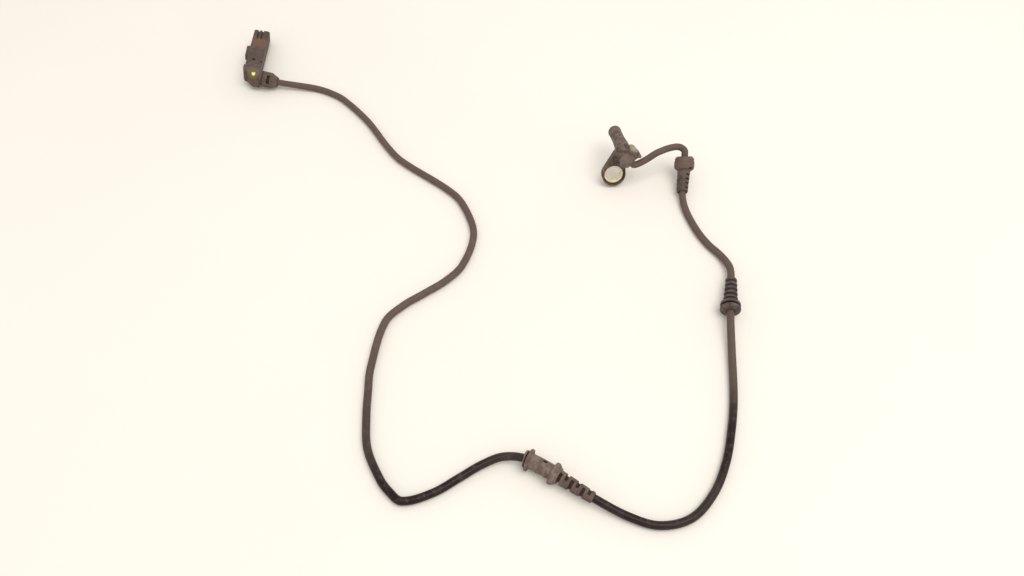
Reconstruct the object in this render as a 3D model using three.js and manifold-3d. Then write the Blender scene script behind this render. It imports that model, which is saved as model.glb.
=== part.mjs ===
// Wheel speed sensor: a probe head with its bolt lug, a two-core cable with three
// rubber mouldings on it, and an angled plug. Millimetres, +Z up. The floor is z = 0,
// the origin is on it under the middle of the probe head, and +Y is away from the viewer.

import * as THREE from "three";
import { mergeVertices } from "three/addons/utils/BufferGeometryUtils.js";
import Module from "manifold-3d";

const wasm = await Module();
wasm.setup();

// Fits
const gap = 0.3;                  // between any two pieces that sit together
const roundSides = 28;            // facets around a turned piece

// How the head lies, in degrees
const headTilt = 20;              // probe's dip below the horizontal
const headRoll = 13.1;            // about the probe
const headYaw = 5.2;              // probe's heading, left of +Y

// Probe and its lug
const probeRadius = 4.9;
const probeLength = 25;           // from the seating face to the tip
const probeTipRound = 1.6;
const probeWall = 1.1;
const lugSpacing = 22.6;          // probe axis to bolt axis
const lugRadius = 8.8;
const lugThickness = 6.5;
const lugTopRadius = 2.2;         // round of the plate about the probe
const edgeRound = 0.5;

// Bolt bush
const bushRadius = 7.2;
const bushBore = 5.2;
const bushLength = 5.1;
const bushProud = 0.3;            // past the seating face

// Rear block, from which the cable comes
const blockDepth = 10.8;          // seating face to the block's back
const blockStart = 1.6;           // seating face to the block's front
const blockReach = 12.2;          // probe axis to the block's right side
const blockDrop = 14.0;           // probe axis to the block's foot
const blockLeft = 2.2;
const blockTop = 2.3;
const bumpRadius = 3.7;
const bumpRight = 7.6;            // bump's centre from the probe axis
const bumpDrop = 1.5;
const hookReach = 2.9;
const hookRadius = 1.3;
const hookDrop = 3.1;

// Cable
const cableRadius = 2.5;
const cableSides = 10;
const stepsPerSpan = 2;
const cableEndInHead = [2.6, -5.33, -7.64]; // in the head's own axes
const cableExit = [9.2, -7.6, -9.9];
const headLeadOut = 3.2;          // straight run outside the head
const boreRadius = cableRadius + gap;

// Pieces inside the head
const carrierRadius = 3.2;
const carrierLength = 22;
const carrierFlat = 0.9;          // carrier axis to its flat top
const chipSize = [3.6, 1.3, 3.4]; // across, thick, along the probe
const magnetRadius = 1.5;
const magnetLength = 4;
const leadWidth = 0.8;
const leadThickness = 0.4;
const leadSpacing = 2.6;
const crimpRadius = 0.95;
const crimpLength = 3.4;
const coreRadius = 0.8;
const chamberBack = 7.6;          // seating face to the back of the wire space
const passageLeft = 1.1;          // probe axis to the passage's left wall

// Inner grommet, next to the head
const collarRadius = 7.4;
const collarLength = 10.6;
const collarMouth = 4.4;
const collarShoulder = 2.6;
const sleeveRadius = 4.7;         // next to the collar
const sleeveEndRadius = 4.1;
const sleeveLength = 18.5;
const sleeveSlots = 7;
const sleeveSlotFirst = 3;         // free end to the first slot
const sleeveSlotRun = 11.5;        // first slot to the last
const sleeveSlotWidth = 0.8;
const sleeveSlotDepth = 1.0;
const collarPocket = [2.0, 1.2, 1.5];       // along, across, deep

// Middle grommet
const bellowsRibs = 5;
const bellowsPitch = 3.95;
const bellowsStart = 3.9;         // rib radius at the head end
const bellowsEnd = 4.75;          // rib radius at the flanges
const bellowsGroove = 0.95;
const flangeRadius = 6.8;
const flangeWidth = 3.1;
const flangeGap = 1.0;
const flangeGroove = 1.0;
const flangeRecess = 0.7;

// Spool grommet with its slotted strain relief
const reliefEndRadius = 3.45;
const reliefRadius = 4.3;
const reliefSlots = 6;
const slotPitch = 3.73;
const slotWidth = 1.4;
const slotFirst = 4.0;            // middle of the spool's near flange to the first slot
const reliefTail = 3.2;           // past the last slot
const slotKeep = 0.6;             // the slots stop this far past the axis
const spoolNear = 3.1;            // bevelled flange's width
const spoolFar = 1.6;             // thin flange's width
const spoolFlangeRadius = 6.9;
const spoolRadius = 4.65;
const spoolLength = 14.4;         // between the flanges
const spoolDiscRadius = 5.2;
const spoolDiscWidth = 1.2;
const spoolNeck = 0.8;
const spoolPocket = [2.6, 1.6, 1.2];        // along, across, deep
const spoolPocketShare = 0.41;    // of the way from the bevelled flange
const spoolPocketTurn = 30;

// Cable's way from the head to the plug, over the floor
const cablePoints = [
  [16.4, -13.3, 20.9],
  [27.4, -7.8, 24.5],
  [41.5, -1.0, 23.2],
  [47.4, -1.9, 20.9],
  [47.9, -5.6, 17.8],             // inner grommet's mouth
  [47.7, -13.5, 9.7],
  [45.2, -31.3, 4.8],
  [46.3, -45.3, 2.8],
  [51.9, -64.8, 2.7],
  [58.1, -77.4, 2.7],
  [65.5, -88.1, 3.2],
  [69.3, -98.8, 4.5],
  [68.0, -111.0, 6.1],            // middle grommet's bellows
  [65.1, -125.8, 6.9],
  [62.1, -142.8, 7.5],
  [60.2, -164.1, 4.2],
  [56.1, -198.4, 2.7],
  [51.3, -220.0, 2.7],
  [44.6, -241.0, 2.7],
  [34.8, -259.4, 2.7],
  [20.1, -273.9, 2.7],
  [1.6, -278.0, 2.7],
  [-16.0, -272.9, 3.5],
  [-35.0, -263.4, 6.5],           // spool grommet's strain relief
  [-71.1, -241.0, 7.0],
  [-85.4, -237.9, 4.6],
  [-98.4, -242.4, 3.3],
  [-110.3, -249.6, 2.7],
  [-126.0, -259.2, 2.7],
  [-143.4, -264.0, 2.7],
  [-151.1, -258.4, 2.7],
  [-157.3, -250.6, 2.7],
  [-166.4, -231.8, 2.7],
  [-169.2, -211.2, 2.7],
  [-170.0, -194.5, 2.7],
  [-170.2, -177.5, 2.7],
  [-164.3, -142.7, 2.7],
  [-153.5, -129.7, 2.7],
  [-140.0, -119.7, 2.7],
  [-126.3, -109.3, 2.7],
  [-115.2, -95.9, 2.7],
  [-108.1, -69.4, 2.7],
  [-113.1, -47.9, 2.7],
  [-124.2, -29.2, 2.7],
  [-165.4, 4.6, 2.7],
  [-177.5, 19.6, 2.7],
  [-196.2, 48.8, 2.7],
  [-218.1, 74.0, 2.7],
  [-230.0, 82.5, 2.7],
  [-243.8, 88.4, 2.8],
];
const innerGrommetPoint = 7;      // counted from the cable's end in the head
const middleGrommetPoint = 15;
const spoolGrommetPoint = 26;

// Plug, resting on its arm and on the nose's end
const plugPlace = [-295.9, 98];   // elbow
const plugYaw = 3;                // nose's heading, left of +Y
const plugRoll = 12;              // the arm's side dips
const plugPitch = 3.5;            // the nose dips
const plugHeight = 12;
const noseWidth = 13.0;
const noseHeight = 11.8;
const noseReach = 54.3;           // elbow to the nose's end
const noseRound = 1.2;
const noseBack = -4;
const bodyLeft = 7.3;
const bodyRight = 6.6;
const bodyReach = 33;
const bodyFoot = 9.8;             // elbow to the side towards the viewer
const bodyCut = 8.6;              // the outer corner's cut
const bodyRound = 1.6;
const bodyInset = 0.2;            // inside the nose's sides
const elbowRound = 3.2;
const shoulderEnd = 3;
const taperStart = 9;             // the right side comes in from here
const taperEnd = 13;
const latchWidth = 2.6;
const latchStart = 18;
const latchEnd = 31.8;
const latchHeight = 5.6;
const armTurn = -10.5;            // arm's heading, from the nose's right
const armOffset = -3.0;
const armRadius = 4.9;
const armReach = 15.6;            // elbow to the seal's outer end
const capRadius = 6.3;
const capStart = 9.6;
const capEnd = 21.6;
const capTaper = 4.6;
const capWall = 1.2;
const capWindow = [2.4, 6.6];     // along the arm, across it
const windowDistance = 14.5;
const windowTurn = 52;            // towards the viewer, from the top
const sealLength = 4.0;
const cableEndInArm = 6;
const socketDepth = 11;
const socketWidth = 9.4;
const socketHeight = 7.8;
const keyWidth = 1.5;
const keyDepth = 1.0;
const keyLength = 13;
const keySpacing = 3.2;
const keyMiddle = -0.6;
const recessPlace = [-0.8, 12];
const recessRadius = 1.3;
const recessDepth = 1.6;
const terminalSpacing = 4.2;
const terminalWidth = 1.6;
const terminalThickness = 0.8;
const terminalLength = 22;
const terminalProud = 6;          // blade standing in the socket
const terminalWall = 3;
const coreRun = 20;               // straight run of a core behind its blade
const wireSpace = 4.4;            // half height and half width of the space for the cores

const up = new THREE.Vector3(0, 0, 1);
const radians = THREE.MathUtils.degToRad;

// Solids from geometries, and back
function solidOf(geometry) {
  const bare = new THREE.BufferGeometry();
  bare.setAttribute("position", geometry.attributes.position.clone());
  if (geometry.index) bare.setIndex(geometry.index.clone());
  const merged = mergeVertices(bare, 1e-4);
  return new wasm.Manifold(new wasm.Mesh({
    numProp: 3,
    vertProperties: new Float32Array(merged.attributes.position.array),
    triVerts: new Uint32Array(merged.index.array),
  }));
}

function geometryOf(solid) {
  const { vertProperties, triVerts } = solid.getMesh();
  const geometry = new THREE.BufferGeometry();
  geometry.setAttribute("position", new THREE.BufferAttribute(vertProperties, 3));
  geometry.setIndex(new THREE.BufferAttribute(triVerts, 1));
  geometry.computeVertexNormals();
  return geometry;
}

const join = (first, ...others) =>
  geometryOf(others.reduce((sum, item) => sum.add(solidOf(item)), solidOf(first)));

const cut = (first, ...others) =>
  geometryOf(others.reduce((rest, item) => rest.subtract(solidOf(item)), solidOf(first)));

// Basic forms
function box(size, centre) {
  return new THREE.BoxGeometry(...size).translate(...centre);
}

// Turned about +Z from [radius, height] pairs that run upwards and close on the axis
function turned(profile, sides = roundSides) {
  const points = profile.map(([radius, height]) => new THREE.Vector2(radius, height));
  return new THREE.LatheGeometry(points, sides).rotateX(Math.PI / 2);
}

function rod(radius, start, end, sides = roundSides) {
  return turned([[0, start], [radius, start], [radius, end], [0, end]], sides);
}

// A rod between two points
function rodBetween(radius, from, to, sides = roundSides) {
  const along = new THREE.Vector3().subVectors(to, from);
  const turn = new THREE.Quaternion().setFromUnitVectors(up, along.clone().normalize());
  return rod(radius, 0, along.length(), sides)
    .applyQuaternion(turn)
    .translate(from.x, from.y, from.z);
}

// An outline drawn in X and Z, made solid from y = back to y = front
function slab(shape, back, front, round = 0) {
  const depth = front - back - 2 * round;
  const geometry = new THREE.ExtrudeGeometry(shape, {
    depth,
    bevelEnabled: round > 0,
    bevelSize: round,
    bevelThickness: round,
    bevelOffset: -round,
    bevelSegments: 2,
    curveSegments: 9,
  });
  return geometry.rotateX(Math.PI / 2).translate(0, front - round, 0);
}

// An outline drawn in X and Y, made solid from z = low to z = high
function plate(shape, low, high, round = 0) {
  const geometry = new THREE.ExtrudeGeometry(shape, {
    depth: high - low - 2 * round,
    bevelEnabled: round > 0,
    bevelSize: round,
    bevelThickness: round,
    bevelOffset: -round,
    bevelSegments: 2,
    curveSegments: 8,
  });
  return geometry.translate(0, 0, low + round);
}

const outline = (pairs) => new THREE.Shape(pairs.map(([x, y]) => new THREE.Vector2(x, y)));

const part = new THREE.Group();

function add(parent, name, geometry, color, roughness, metalness = 0) {
  const material = new THREE.MeshStandardMaterial({ color, roughness, metalness });
  const piece = new THREE.Mesh(geometry, material);
  piece.name = name;
  parent.add(piece);
  return piece;
}

// Head: its own axes have +Y along the probe, +Z from the bolt to the probe,
// and their origin on the probe's axis at the seating face.
const head = new THREE.Group();
head.rotation.set(radians(-headTilt), radians(headRoll), radians(headYaw), "ZXY");
part.add(head);

const alongProbe = (geometry) => geometry.rotateX(-Math.PI / 2);   // +Z to +Y

function lugOutline() {
  // Two rounds and the straight flanks that touch both
  const lean = Math.asin((lugRadius - lugTopRadius) / lugSpacing);
  const shape = new THREE.Shape();
  shape.absarc(0, -lugSpacing, lugRadius, Math.PI - lean, 2 * Math.PI + lean, false);
  shape.absarc(0, 0, lugTopRadius, lean, Math.PI - lean, false);
  return shape;
}

function blockOutline() {
  const right = blockReach;
  const hookTop = hookDrop - hookRadius;
  return outline([
    [-blockLeft, 1.2],
    [0.5, blockTop],
    [right - 2, 0.6],
    [right - 0.2, -0.5],
    [right + hookReach - hookRadius, -hookTop],
    [right + hookReach - 0.3, -hookDrop + 0.4],
    [right + hookReach, -hookDrop - 0.5],
    [right + hookReach - 0.6, -hookDrop - hookRadius],
    [right + 0.9, -hookDrop - hookRadius - 0.2],
    [right - 0.8, -hookDrop - 2.6],
    [right - 1.7, -blockDrop + 2.2],
    [right - 3.8, -blockDrop],
    [blockLeft - 1.2, -blockDrop],
    [-blockLeft, -3],
  ].reverse());
}

const exitInHead = new THREE.Vector3(...cableExit);
const innerEndInHead = new THREE.Vector3(...cableEndInHead);
const exitDirection = new THREE.Vector3().subVectors(exitInHead, innerEndInHead).normalize();
const carrierTip = probeLength - probeWall - gap;
const carrierBack = carrierTip - carrierLength;
const chamberRadius = carrierRadius + gap;

function makeHousing() {
  const probe = alongProbe(turned([
    [0, -lugThickness],
    [probeRadius, -lugThickness],
    [probeRadius, probeLength - probeTipRound],
    [probeRadius - 0.3 * probeTipRound, probeLength - 0.3 * probeTipRound],
    [probeRadius - probeTipRound, probeLength],
    [0, probeLength],
  ]));
  const rearBoss = alongProbe(rod(probeRadius + gap, -blockDepth, -blockStart));
  const lug = slab(lugOutline(), -lugThickness, 0, edgeRound);
  const block = slab(blockOutline(), -blockDepth, -blockStart, edgeRound);
  const bump = alongProbe(turned([
    [0, -blockDepth + 1.6],
    [bumpRadius - 1, -blockDepth + 1.6],
    [bumpRadius, -blockDepth + 2.8],
    [bumpRadius, -blockStart - 0.9],
    [bumpRadius - 1, -blockStart],
    [0, -blockStart],
  ])).translate(bumpRight, 0, -bumpDrop);
  const body = join(probe, rearBoss, lug, block, bump);

  const bushHole = alongProbe(rod(bushRadius + gap, -lugThickness - 1, 1))
    .translate(0, 0, -lugSpacing);
  const chamber = alongProbe(rod(chamberRadius, -chamberBack, carrierTip + gap));
  const passageRight = innerEndInHead.x + boreRadius;
  const passageFoot = innerEndInHead.z - boreRadius;
  const wirePassage = box(
    [passageLeft + passageRight, chamberBack - blockStart, -passageFoot],
    [(passageRight - passageLeft) / 2, -(chamberBack + blockStart) / 2, passageFoot / 2],
  );
  const bore = rodBetween(
    boreRadius,
    innerEndInHead.clone().addScaledVector(exitDirection, -gap),
    exitInHead.clone().addScaledVector(exitDirection, blockReach),
  );
  return cut(body, bushHole, chamber, wirePassage, bore);
}

add(head, "sensor_housing", makeHousing(), "#4b4039", 0.7);

const bushGeometry = alongProbe(turned([
  [bushBore, bushProud - bushLength],
  [bushRadius - 0.4, bushProud - bushLength],
  [bushRadius, bushProud - bushLength + 0.4],
  [bushRadius, bushProud - 0.4],
  [bushRadius - 0.4, bushProud],
  [bushBore, bushProud],
  [bushBore, bushProud - bushLength],
])).translate(0, 0, -lugSpacing);
add(head, "bolt_bush", bushGeometry, "#b9a26a", 0.4, 0.9);

// The carrier is a bar with a flat top; the chip and the magnet lie in pockets in it.
const [chipAcross, chipThick, chipAlong] = chipSize;
const chipFront = carrierTip - 0.6;
const magnetFront = chipFront - chipAlong - 1.2;
const leadFront = chipFront - chipAlong - gap;
const leadLength = leadFront - carrierBack + 0.8;
const chipTop = carrierFlat + 0.2;
const leadHeight = carrierFlat + gap + leadThickness / 2;

function makeCarrier() {
  const bar = alongProbe(rod(carrierRadius, carrierBack, carrierTip, 20));
  const reach = 2 * carrierRadius;
  const above = box(
    [reach, carrierLength - 1.2, reach],
    [0, carrierBack + (carrierLength - 1.2) / 2 - 1, carrierFlat + reach / 2],
  );
  const chipPocket = box(
    [chipAcross + 2 * gap, chipAlong + 2 * gap, reach],
    [0, chipFront - chipAlong / 2, chipTop - chipThick - gap + reach / 2],
  );
  const magnetPocket = box(
    [2 * magnetRadius + 2 * gap, magnetLength + 2 * gap, reach],
    [0, magnetFront - magnetLength / 2, carrierFlat - 2 * magnetRadius - 2 * gap + reach / 2],
  );
  return cut(bar, above, chipPocket, magnetPocket);
}

add(head, "element_carrier", makeCarrier(), "#2b2a29", 0.6);
add(
  head,
  "sensing_chip",
  box([chipAcross, chipAlong, chipThick], [0, chipFront - chipAlong / 2, chipTop - chipThick / 2]),
  "#1d1d1f",
  0.5,
);
add(
  head,
  "bias_magnet",
  alongProbe(rod(magnetRadius, magnetFront - magnetLength, magnetFront, 16))
    .translate(0, 0, carrierFlat - magnetRadius - gap),
  "#8d8f92",
  0.35,
  0.9,
);

// Each core leaves the cable's end, turns into the probe and is crimped to a chip lead.
const crimpBack = leadFront - leadLength - gap - crimpLength;
for (const [side, name] of [[-1, "left"], [1, "right"]]) {
  const across = (side * leadSpacing) / 2;
  const lead = box(
    [leadWidth, leadLength, leadThickness],
    [across, leadFront - leadLength / 2, leadHeight],
  );
  add(head, `chip_lead_${name}`, lead, "#b8bcc0", 0.3, 0.9);
  const crimp = alongProbe(rod(crimpRadius, crimpBack, crimpBack + crimpLength, 12))
    .translate(across, 0, leadHeight);
  add(head, `crimp_sleeve_${name}`, crimp, "#c0b48a", 0.35, 0.9);
  const sideways = new THREE.Vector3().crossVectors(up, exitDirection).normalize();
  const start = innerEndInHead.clone()
    .addScaledVector(exitDirection, -gap)
    .addScaledVector(sideways, -side * (coreRadius + gap));
  const end = new THREE.Vector3(across, crimpBack - gap, leadHeight);
  const leaving = start.clone().addScaledVector(exitDirection, -1.4);
  const arriving = end.clone().add(new THREE.Vector3(0, side < 0 ? -1.8 : -3, 0));
  const path = new THREE.CubicBezierCurve3(start, leaving, arriving, end);
  add(head, `head_core_${name}`, tube(path, coreRadius, 8, 8), side < 0 ? "#20262c" : "#7a4a2c", 0.6);
}

function tube(path, radius, sides, steps) {
  const section = new THREE.Shape();
  for (let i = 0; i < sides; i += 1) {
    const angle = (2 * Math.PI * (i + 0.5)) / sides;
    const corner = [radius * Math.cos(angle), radius * Math.sin(angle)];
    if (i === 0) section.moveTo(...corner);
    else section.lineTo(...corner);
  }
  section.closePath();
  return new THREE.ExtrudeGeometry(section, { steps, extrudePath: path, bevelEnabled: false });
}

// The head stands on its lug, with the origin under its middle.
part.updateMatrixWorld(true);
const headBox = new THREE.Box3().setFromObject(head, true);
const headMiddle = headBox.getCenter(new THREE.Vector3());
head.position.set(-headMiddle.x, -headMiddle.y, -headBox.min.z);
part.updateMatrixWorld(true);

// Plug: its own axes have +Y out of the socket, +X to the cable's side and +Z up,
// and their origin is at the elbow, half way up.
const plug = new THREE.Group();
plug.rotation.set(radians(-plugPitch), radians(plugRoll), radians(plugYaw), "ZXY");
plug.position.set(plugPlace[0], plugPlace[1], 0);
part.add(plug);

const armHeading = radians(armTurn);
// A form drawn about +Z goes to the arm: +Z along it, +X across it and level, +Y up
function alongArm(geometry) {
  return geometry
    .rotateX(Math.PI / 2)
    .rotateZ(Math.PI / 2 + armHeading)
    .translate(0, armOffset, 0);
}
const armDirection = new THREE.Vector3(Math.cos(armHeading), Math.sin(armHeading), 0);
const armPoint = (distance) =>
  new THREE.Vector3(0, armOffset, 0).addScaledVector(armDirection, distance);

function roundedBox(width, height, round) {
  const [x, y] = [width / 2, height / 2];
  const shape = new THREE.Shape();
  shape.absarc(x - round, y - round, round, 0, Math.PI / 2, false);
  shape.absarc(-x + round, y - round, round, Math.PI / 2, Math.PI, false);
  shape.absarc(-x + round, -y + round, round, Math.PI, 1.5 * Math.PI, false);
  shape.absarc(x - round, -y + round, round, 1.5 * Math.PI, 2 * Math.PI, false);
  return shape;
}

const socketBack = noseReach - socketDepth;
const wallBack = socketBack - terminalWall;
const terminalFront = socketBack + terminalProud;

function makePlugHousing() {
  const top = plugHeight / 2;
  const nose = slab(roundedBox(noseWidth, noseHeight, noseRound), noseBack, noseReach, 0.5);
  const body = plate(outline([
    [bodyRight, noseBack],
    [bodyRight, taperStart],
    [noseWidth / 2 - bodyInset, taperEnd],
    [noseWidth / 2 - bodyInset, bodyReach],
    [bodyInset - noseWidth / 2, bodyReach],
    [bodyInset - noseWidth / 2, noseBack],
  ]), -top, top, bodyRound);
  const elbow = plate(outline([
    [bodyRight, taperStart],
    [bodyInset - noseWidth / 2, taperStart],
    [-bodyLeft, shoulderEnd],
    [-bodyLeft, bodyCut - bodyFoot],
    [bodyCut - bodyLeft, -bodyFoot],
    [bodyRight, -bodyFoot],
  ]), -top, top, elbowRound);
  const latchLeft = -noseWidth / 2 - latchWidth;
  const latch = plate(outline([
    [0, latchStart],
    [0, latchEnd],
    [latchLeft, latchEnd],
    [latchLeft + 0.3, latchStart + 3],
    [latchLeft + 0.1, latchStart + 1],
    [latchLeft + 1.4, latchStart],
  ]), 1.5 - latchHeight / 2, 1.5 + latchHeight / 2, 0.4);
  const collar = alongArm(rod(capRadius, 0, capStart - gap));
  const armTube = alongArm(rod(armRadius, 0, armReach - sealLength - gap));
  const housing = join(nose, body, elbow, latch, collar, armTube);

  const socket = slab(roundedBox(socketWidth, socketHeight, 1.4), socketBack, noseReach + 1);
  const channel = box(
    [2 * wireSpace, wallBack + wireSpace, 2 * wireSpace],
    [0, (wallBack - wireSpace) / 2, 0],
  );
  const sideChannel = alongArm(rod(wireSpace, 0, cableEndInArm - gap, 16));
  const bore = alongArm(rod(boreRadius, cableEndInArm - 2 * gap, capEnd));
  const recess = rod(recessRadius, top - recessDepth, top + 1, 16).translate(...recessPlace, 0);
  const cuts = [socket, channel, sideChannel, bore, recess];
  for (const side of [-1, 1]) {
    cuts.push(box(
      [terminalWidth + 2 * gap, terminalWall + 2, terminalThickness + 2 * gap],
      [(side * terminalSpacing) / 2, (wallBack + socketBack) / 2, 0],
    ));
    cuts.push(box(
      [keyWidth, keyLength + 1, 2 * keyDepth],
      [keyMiddle + (side * keySpacing) / 2, noseReach - (keyLength - 1) / 2, noseHeight / 2],
    ));
  }
  return cut(housing, ...cuts);
}

add(plug, "plug_housing", makePlugHousing(), "#5b4b43", 0.65);

function makeRearCap() {
  const inner = armRadius + gap;
  const shell = turned([
    [inner, capStart],
    [capRadius, capStart],
    [capRadius, capEnd - capTaper - 0.6],
    [capRadius - 0.6, capEnd - capTaper],
    [boreRadius + capWall, capEnd - 0.5],
    [boreRadius + capWall - 0.5, capEnd],
    [boreRadius, capEnd],
    [boreRadius, armReach + gap],
    [inner, armReach + gap],
    [inner, capStart],
  ]);
  const [windowAlong, windowAcross] = capWindow;
  const window = box([windowAcross, capRadius, windowAlong], [0, capRadius, windowDistance])
    .rotateZ(radians(windowTurn));
  return alongArm(cut(shell, window));
}

add(plug, "plug_rear_cap", makeRearCap(), "#574a42", 0.65);
add(
  plug,
  "cable_seal",
  alongArm(turned([
    [boreRadius, armReach - sealLength],
    [armRadius - 0.5, armReach - sealLength],
    [armRadius, armReach - sealLength + 0.8],
    [armRadius - 0.4, armReach - sealLength / 2],
    [armRadius, armReach - 0.8],
    [armRadius - 0.5, armReach],
    [boreRadius, armReach],
    [boreRadius, armReach - sealLength],
  ])),
  "#6e5a3c",
  0.7,
);

for (const [side, name] of [[-1, "left"], [1, "right"]]) {
  const across = (side * terminalSpacing) / 2;
  const blade = box(
    [terminalWidth, terminalLength, terminalThickness],
    [across, terminalFront - terminalLength / 2, 0],
  );
  add(plug, `plug_terminal_${name}`, blade, "#b9b4a2", 0.3, 0.9);
  const start = armPoint(cableEndInArm - gap);
  start.y += side * (coreRadius + gap);
  const end = new THREE.Vector3(across, terminalFront - terminalLength - gap, 0);
  const leaving = start.clone().addScaledVector(armDirection, side < 0 ? -4.8 : -2.6);
  const arriving = end.clone().add(new THREE.Vector3(0, -coreRun, 0));
  const path = new THREE.CubicBezierCurve3(start, leaving, arriving, end);
  add(plug, `plug_core_${name}`, tube(path, coreRadius, 8, 8), side < 0 ? "#20262c" : "#7a4a2c", 0.6);
}

part.updateMatrixWorld(true);
plug.position.z = -new THREE.Box3().setFromObject(plug, true).min.z;
part.updateMatrixWorld(true);

// Cable: one smooth line from inside the head to inside the plug's arm
class CableRoute extends THREE.Curve {
  constructor(points) {
    super();
    this.points = points;
    this.arcLengthDivisions = 40 * (points.length - 1);
  }

  // A handle is a third of the distance to its neighbour, along the line between neighbours
  handle(index, towards) {
    const last = this.points.length - 1;
    const here = this.points[index];
    const before = this.points[Math.max(index - 1, 0)];
    const after = this.points[Math.min(index + 1, last)];
    const direction = new THREE.Vector3().subVectors(after, before).normalize();
    const reach = here.distanceTo(this.points[index + towards]) / 3;
    return here.clone().addScaledVector(direction, towards * reach);
  }

  getPoint(t, target = new THREE.Vector3()) {
    const last = this.points.length - 1;
    const index = Math.min(Math.floor(t * last), last - 1);
    const from = this.points[index];
    const to = this.points[index + 1];
    const out = this.handle(index, 1);
    const into = this.handle(index + 1, -1);
    return target.copy(new THREE.CubicBezierCurve3(from, out, into, to).getPoint(t * last - index));
  }

  // Steps of the tube are even between the route's points, which lie close where it bends.
  getUtoTmapping(u, distance) {
    return distance === undefined ? u : super.getUtoTmapping(u, distance);
  }

  // Where a distance along the cable falls on the tube's steps, and which way it runs there
  frameAt(distance) {
    const steps = stepsPerSpan * (this.points.length - 1);
    const t = this.getUtoTmapping(0, distance);
    const step = Math.min(Math.floor(t * steps), steps - 1);
    const point = this.getPoint(step / steps).lerp(this.getPoint((step + 1) / steps), t * steps - step);
    const along = this.getTangent(t);
    const left = new THREE.Vector3().crossVectors(up, along).normalize();
    const above = new THREE.Vector3().crossVectors(along, left);
    return { point, left, above };
  }

  // Length along the route to its point with this index
  lengthTo(index) {
    return this.getLengths()[index * 40];
  }
}

const headPoint = (place) => head.localToWorld(place.clone());
const route = new CableRoute([
  headPoint(innerEndInHead),
  headPoint(exitInHead),
  headPoint(exitInHead.clone().addScaledVector(exitDirection, headLeadOut)),
  ...cablePoints.map((point) => new THREE.Vector3(...point)),
  plug.localToWorld(armPoint(capEnd)),
  plug.localToWorld(armPoint(cableEndInArm)),
]);

const cableSteps = stepsPerSpan * (route.points.length - 1);
add(part, "cable", tube(route, cableRadius, cableSides, cableSteps), "#3f3d39", 0.75);

// Wraps a piece drawn about +Z round the cable, from a distance along it
function onCable(geometry, start) {
  const place = geometry.attributes.position;
  for (let i = 0; i < place.count; i += 1) {
    const { point, left, above } = route.frameAt(start + place.getZ(i));
    point.addScaledVector(left, place.getX(i)).addScaledVector(above, place.getY(i));
    place.setXYZ(i, point.x, point.y, point.z);
  }
  geometry.computeVertexNormals();
  return geometry;
}

// The bore's rows, from one end back to the other
function boreRows(high, low) {
  const rows = Math.ceil((high - low) / 3.5);
  return Array.from({ length: rows + 1 }, (_, i) => [boreRadius, high - (i * (high - low)) / rows]);
}

function makeInnerGrommet() {
  const collarEnd = collarLength;
  const end = collarEnd + sleeveLength;
  const shape = turned([
    [boreRadius, 1.4],
    [collarMouth, 0.2],
    [collarMouth + 0.9, 0],
    [collarRadius - 0.9, collarShoulder - 1.4],
    [collarRadius - 0.1, collarShoulder],
    [collarRadius - 0.55, collarShoulder + 0.7],
    [collarRadius, collarShoulder + 1.4],
    [collarRadius, collarEnd - 2.2],
    [collarRadius - 0.7, collarEnd - 0.7],
    [sleeveRadius + 0.3, collarEnd],
    [sleeveRadius, collarEnd + 1],
    [sleeveRadius - (sleeveRadius - sleeveEndRadius) / 2, collarEnd + sleeveLength / 2],
    [sleeveEndRadius, end - 0.8],
    [sleeveEndRadius - 0.7, end],
    ...boreRows(end, 1.4),
  ]);
  const [pocketAlong, pocketAcross, pocketDeep] = collarPocket;
  const pocket = box(
    [pocketAcross, 2 * pocketDeep, pocketAlong],
    [0, collarRadius, collarEnd - 2.6],
  ).rotateZ(radians(40));
  const slots = [];
  for (let i = 0; i < sleeveSlots; i += 1) {
    const side = i % 2 ? 1 : -1;
    const height = end - sleeveSlotFirst - i * (sleeveSlotRun / (sleeveSlots - 1));
    slots.push(box(
      [4 * sleeveRadius, 2 * sleeveRadius, sleeveSlotWidth],
      [0, side * (2 * sleeveRadius - sleeveSlotDepth), height],
    ).rotateZ(radians(-35)));
  }
  return cut(shape, pocket, ...slots);
}

function makeMiddleGrommet() {
  const profile = [[boreRadius, 0], [bellowsStart - 0.9, 0]];
  const growth = (bellowsEnd - bellowsStart) / (bellowsRibs - 1);
  for (let i = 0; i < bellowsRibs; i += 1) {
    const rib = bellowsStart + i * growth;
    const low = i * bellowsPitch;
    profile.push([rib, low + 0.7], [rib, low + 0.6 * bellowsPitch]);
    profile.push([rib - bellowsGroove, low + 0.76 * bellowsPitch]);
    profile.push([rib - bellowsGroove, low + 0.97 * bellowsPitch]);
  }
  const near = bellowsRibs * bellowsPitch + 0.6;
  const far = near + flangeWidth + flangeGap;
  const end = far + flangeWidth;
  const grooveRadius = flangeRadius - flangeGroove;
  profile.push(
    [bellowsEnd, near - 0.4],
    [flangeRadius - 0.7, near + 0.5],
    [flangeRadius - 0.1, near + 1.1],
    [flangeRadius - 0.1, near + flangeWidth],
    [grooveRadius, near + flangeWidth + 0.2],
    [grooveRadius, far],
    [flangeRadius, far + 0.2],
    [flangeRadius, end - 0.8],
    [flangeRadius - 0.9, end],
    [flangeRadius - 1.7, end],
    [flangeRadius - 2, end - flangeRecess],
    [boreRadius + 1.1, end - flangeRecess],
    [boreRadius + 0.9, end],
    ...boreRows(end, 0),
  );
  return turned(profile);
}

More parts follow.
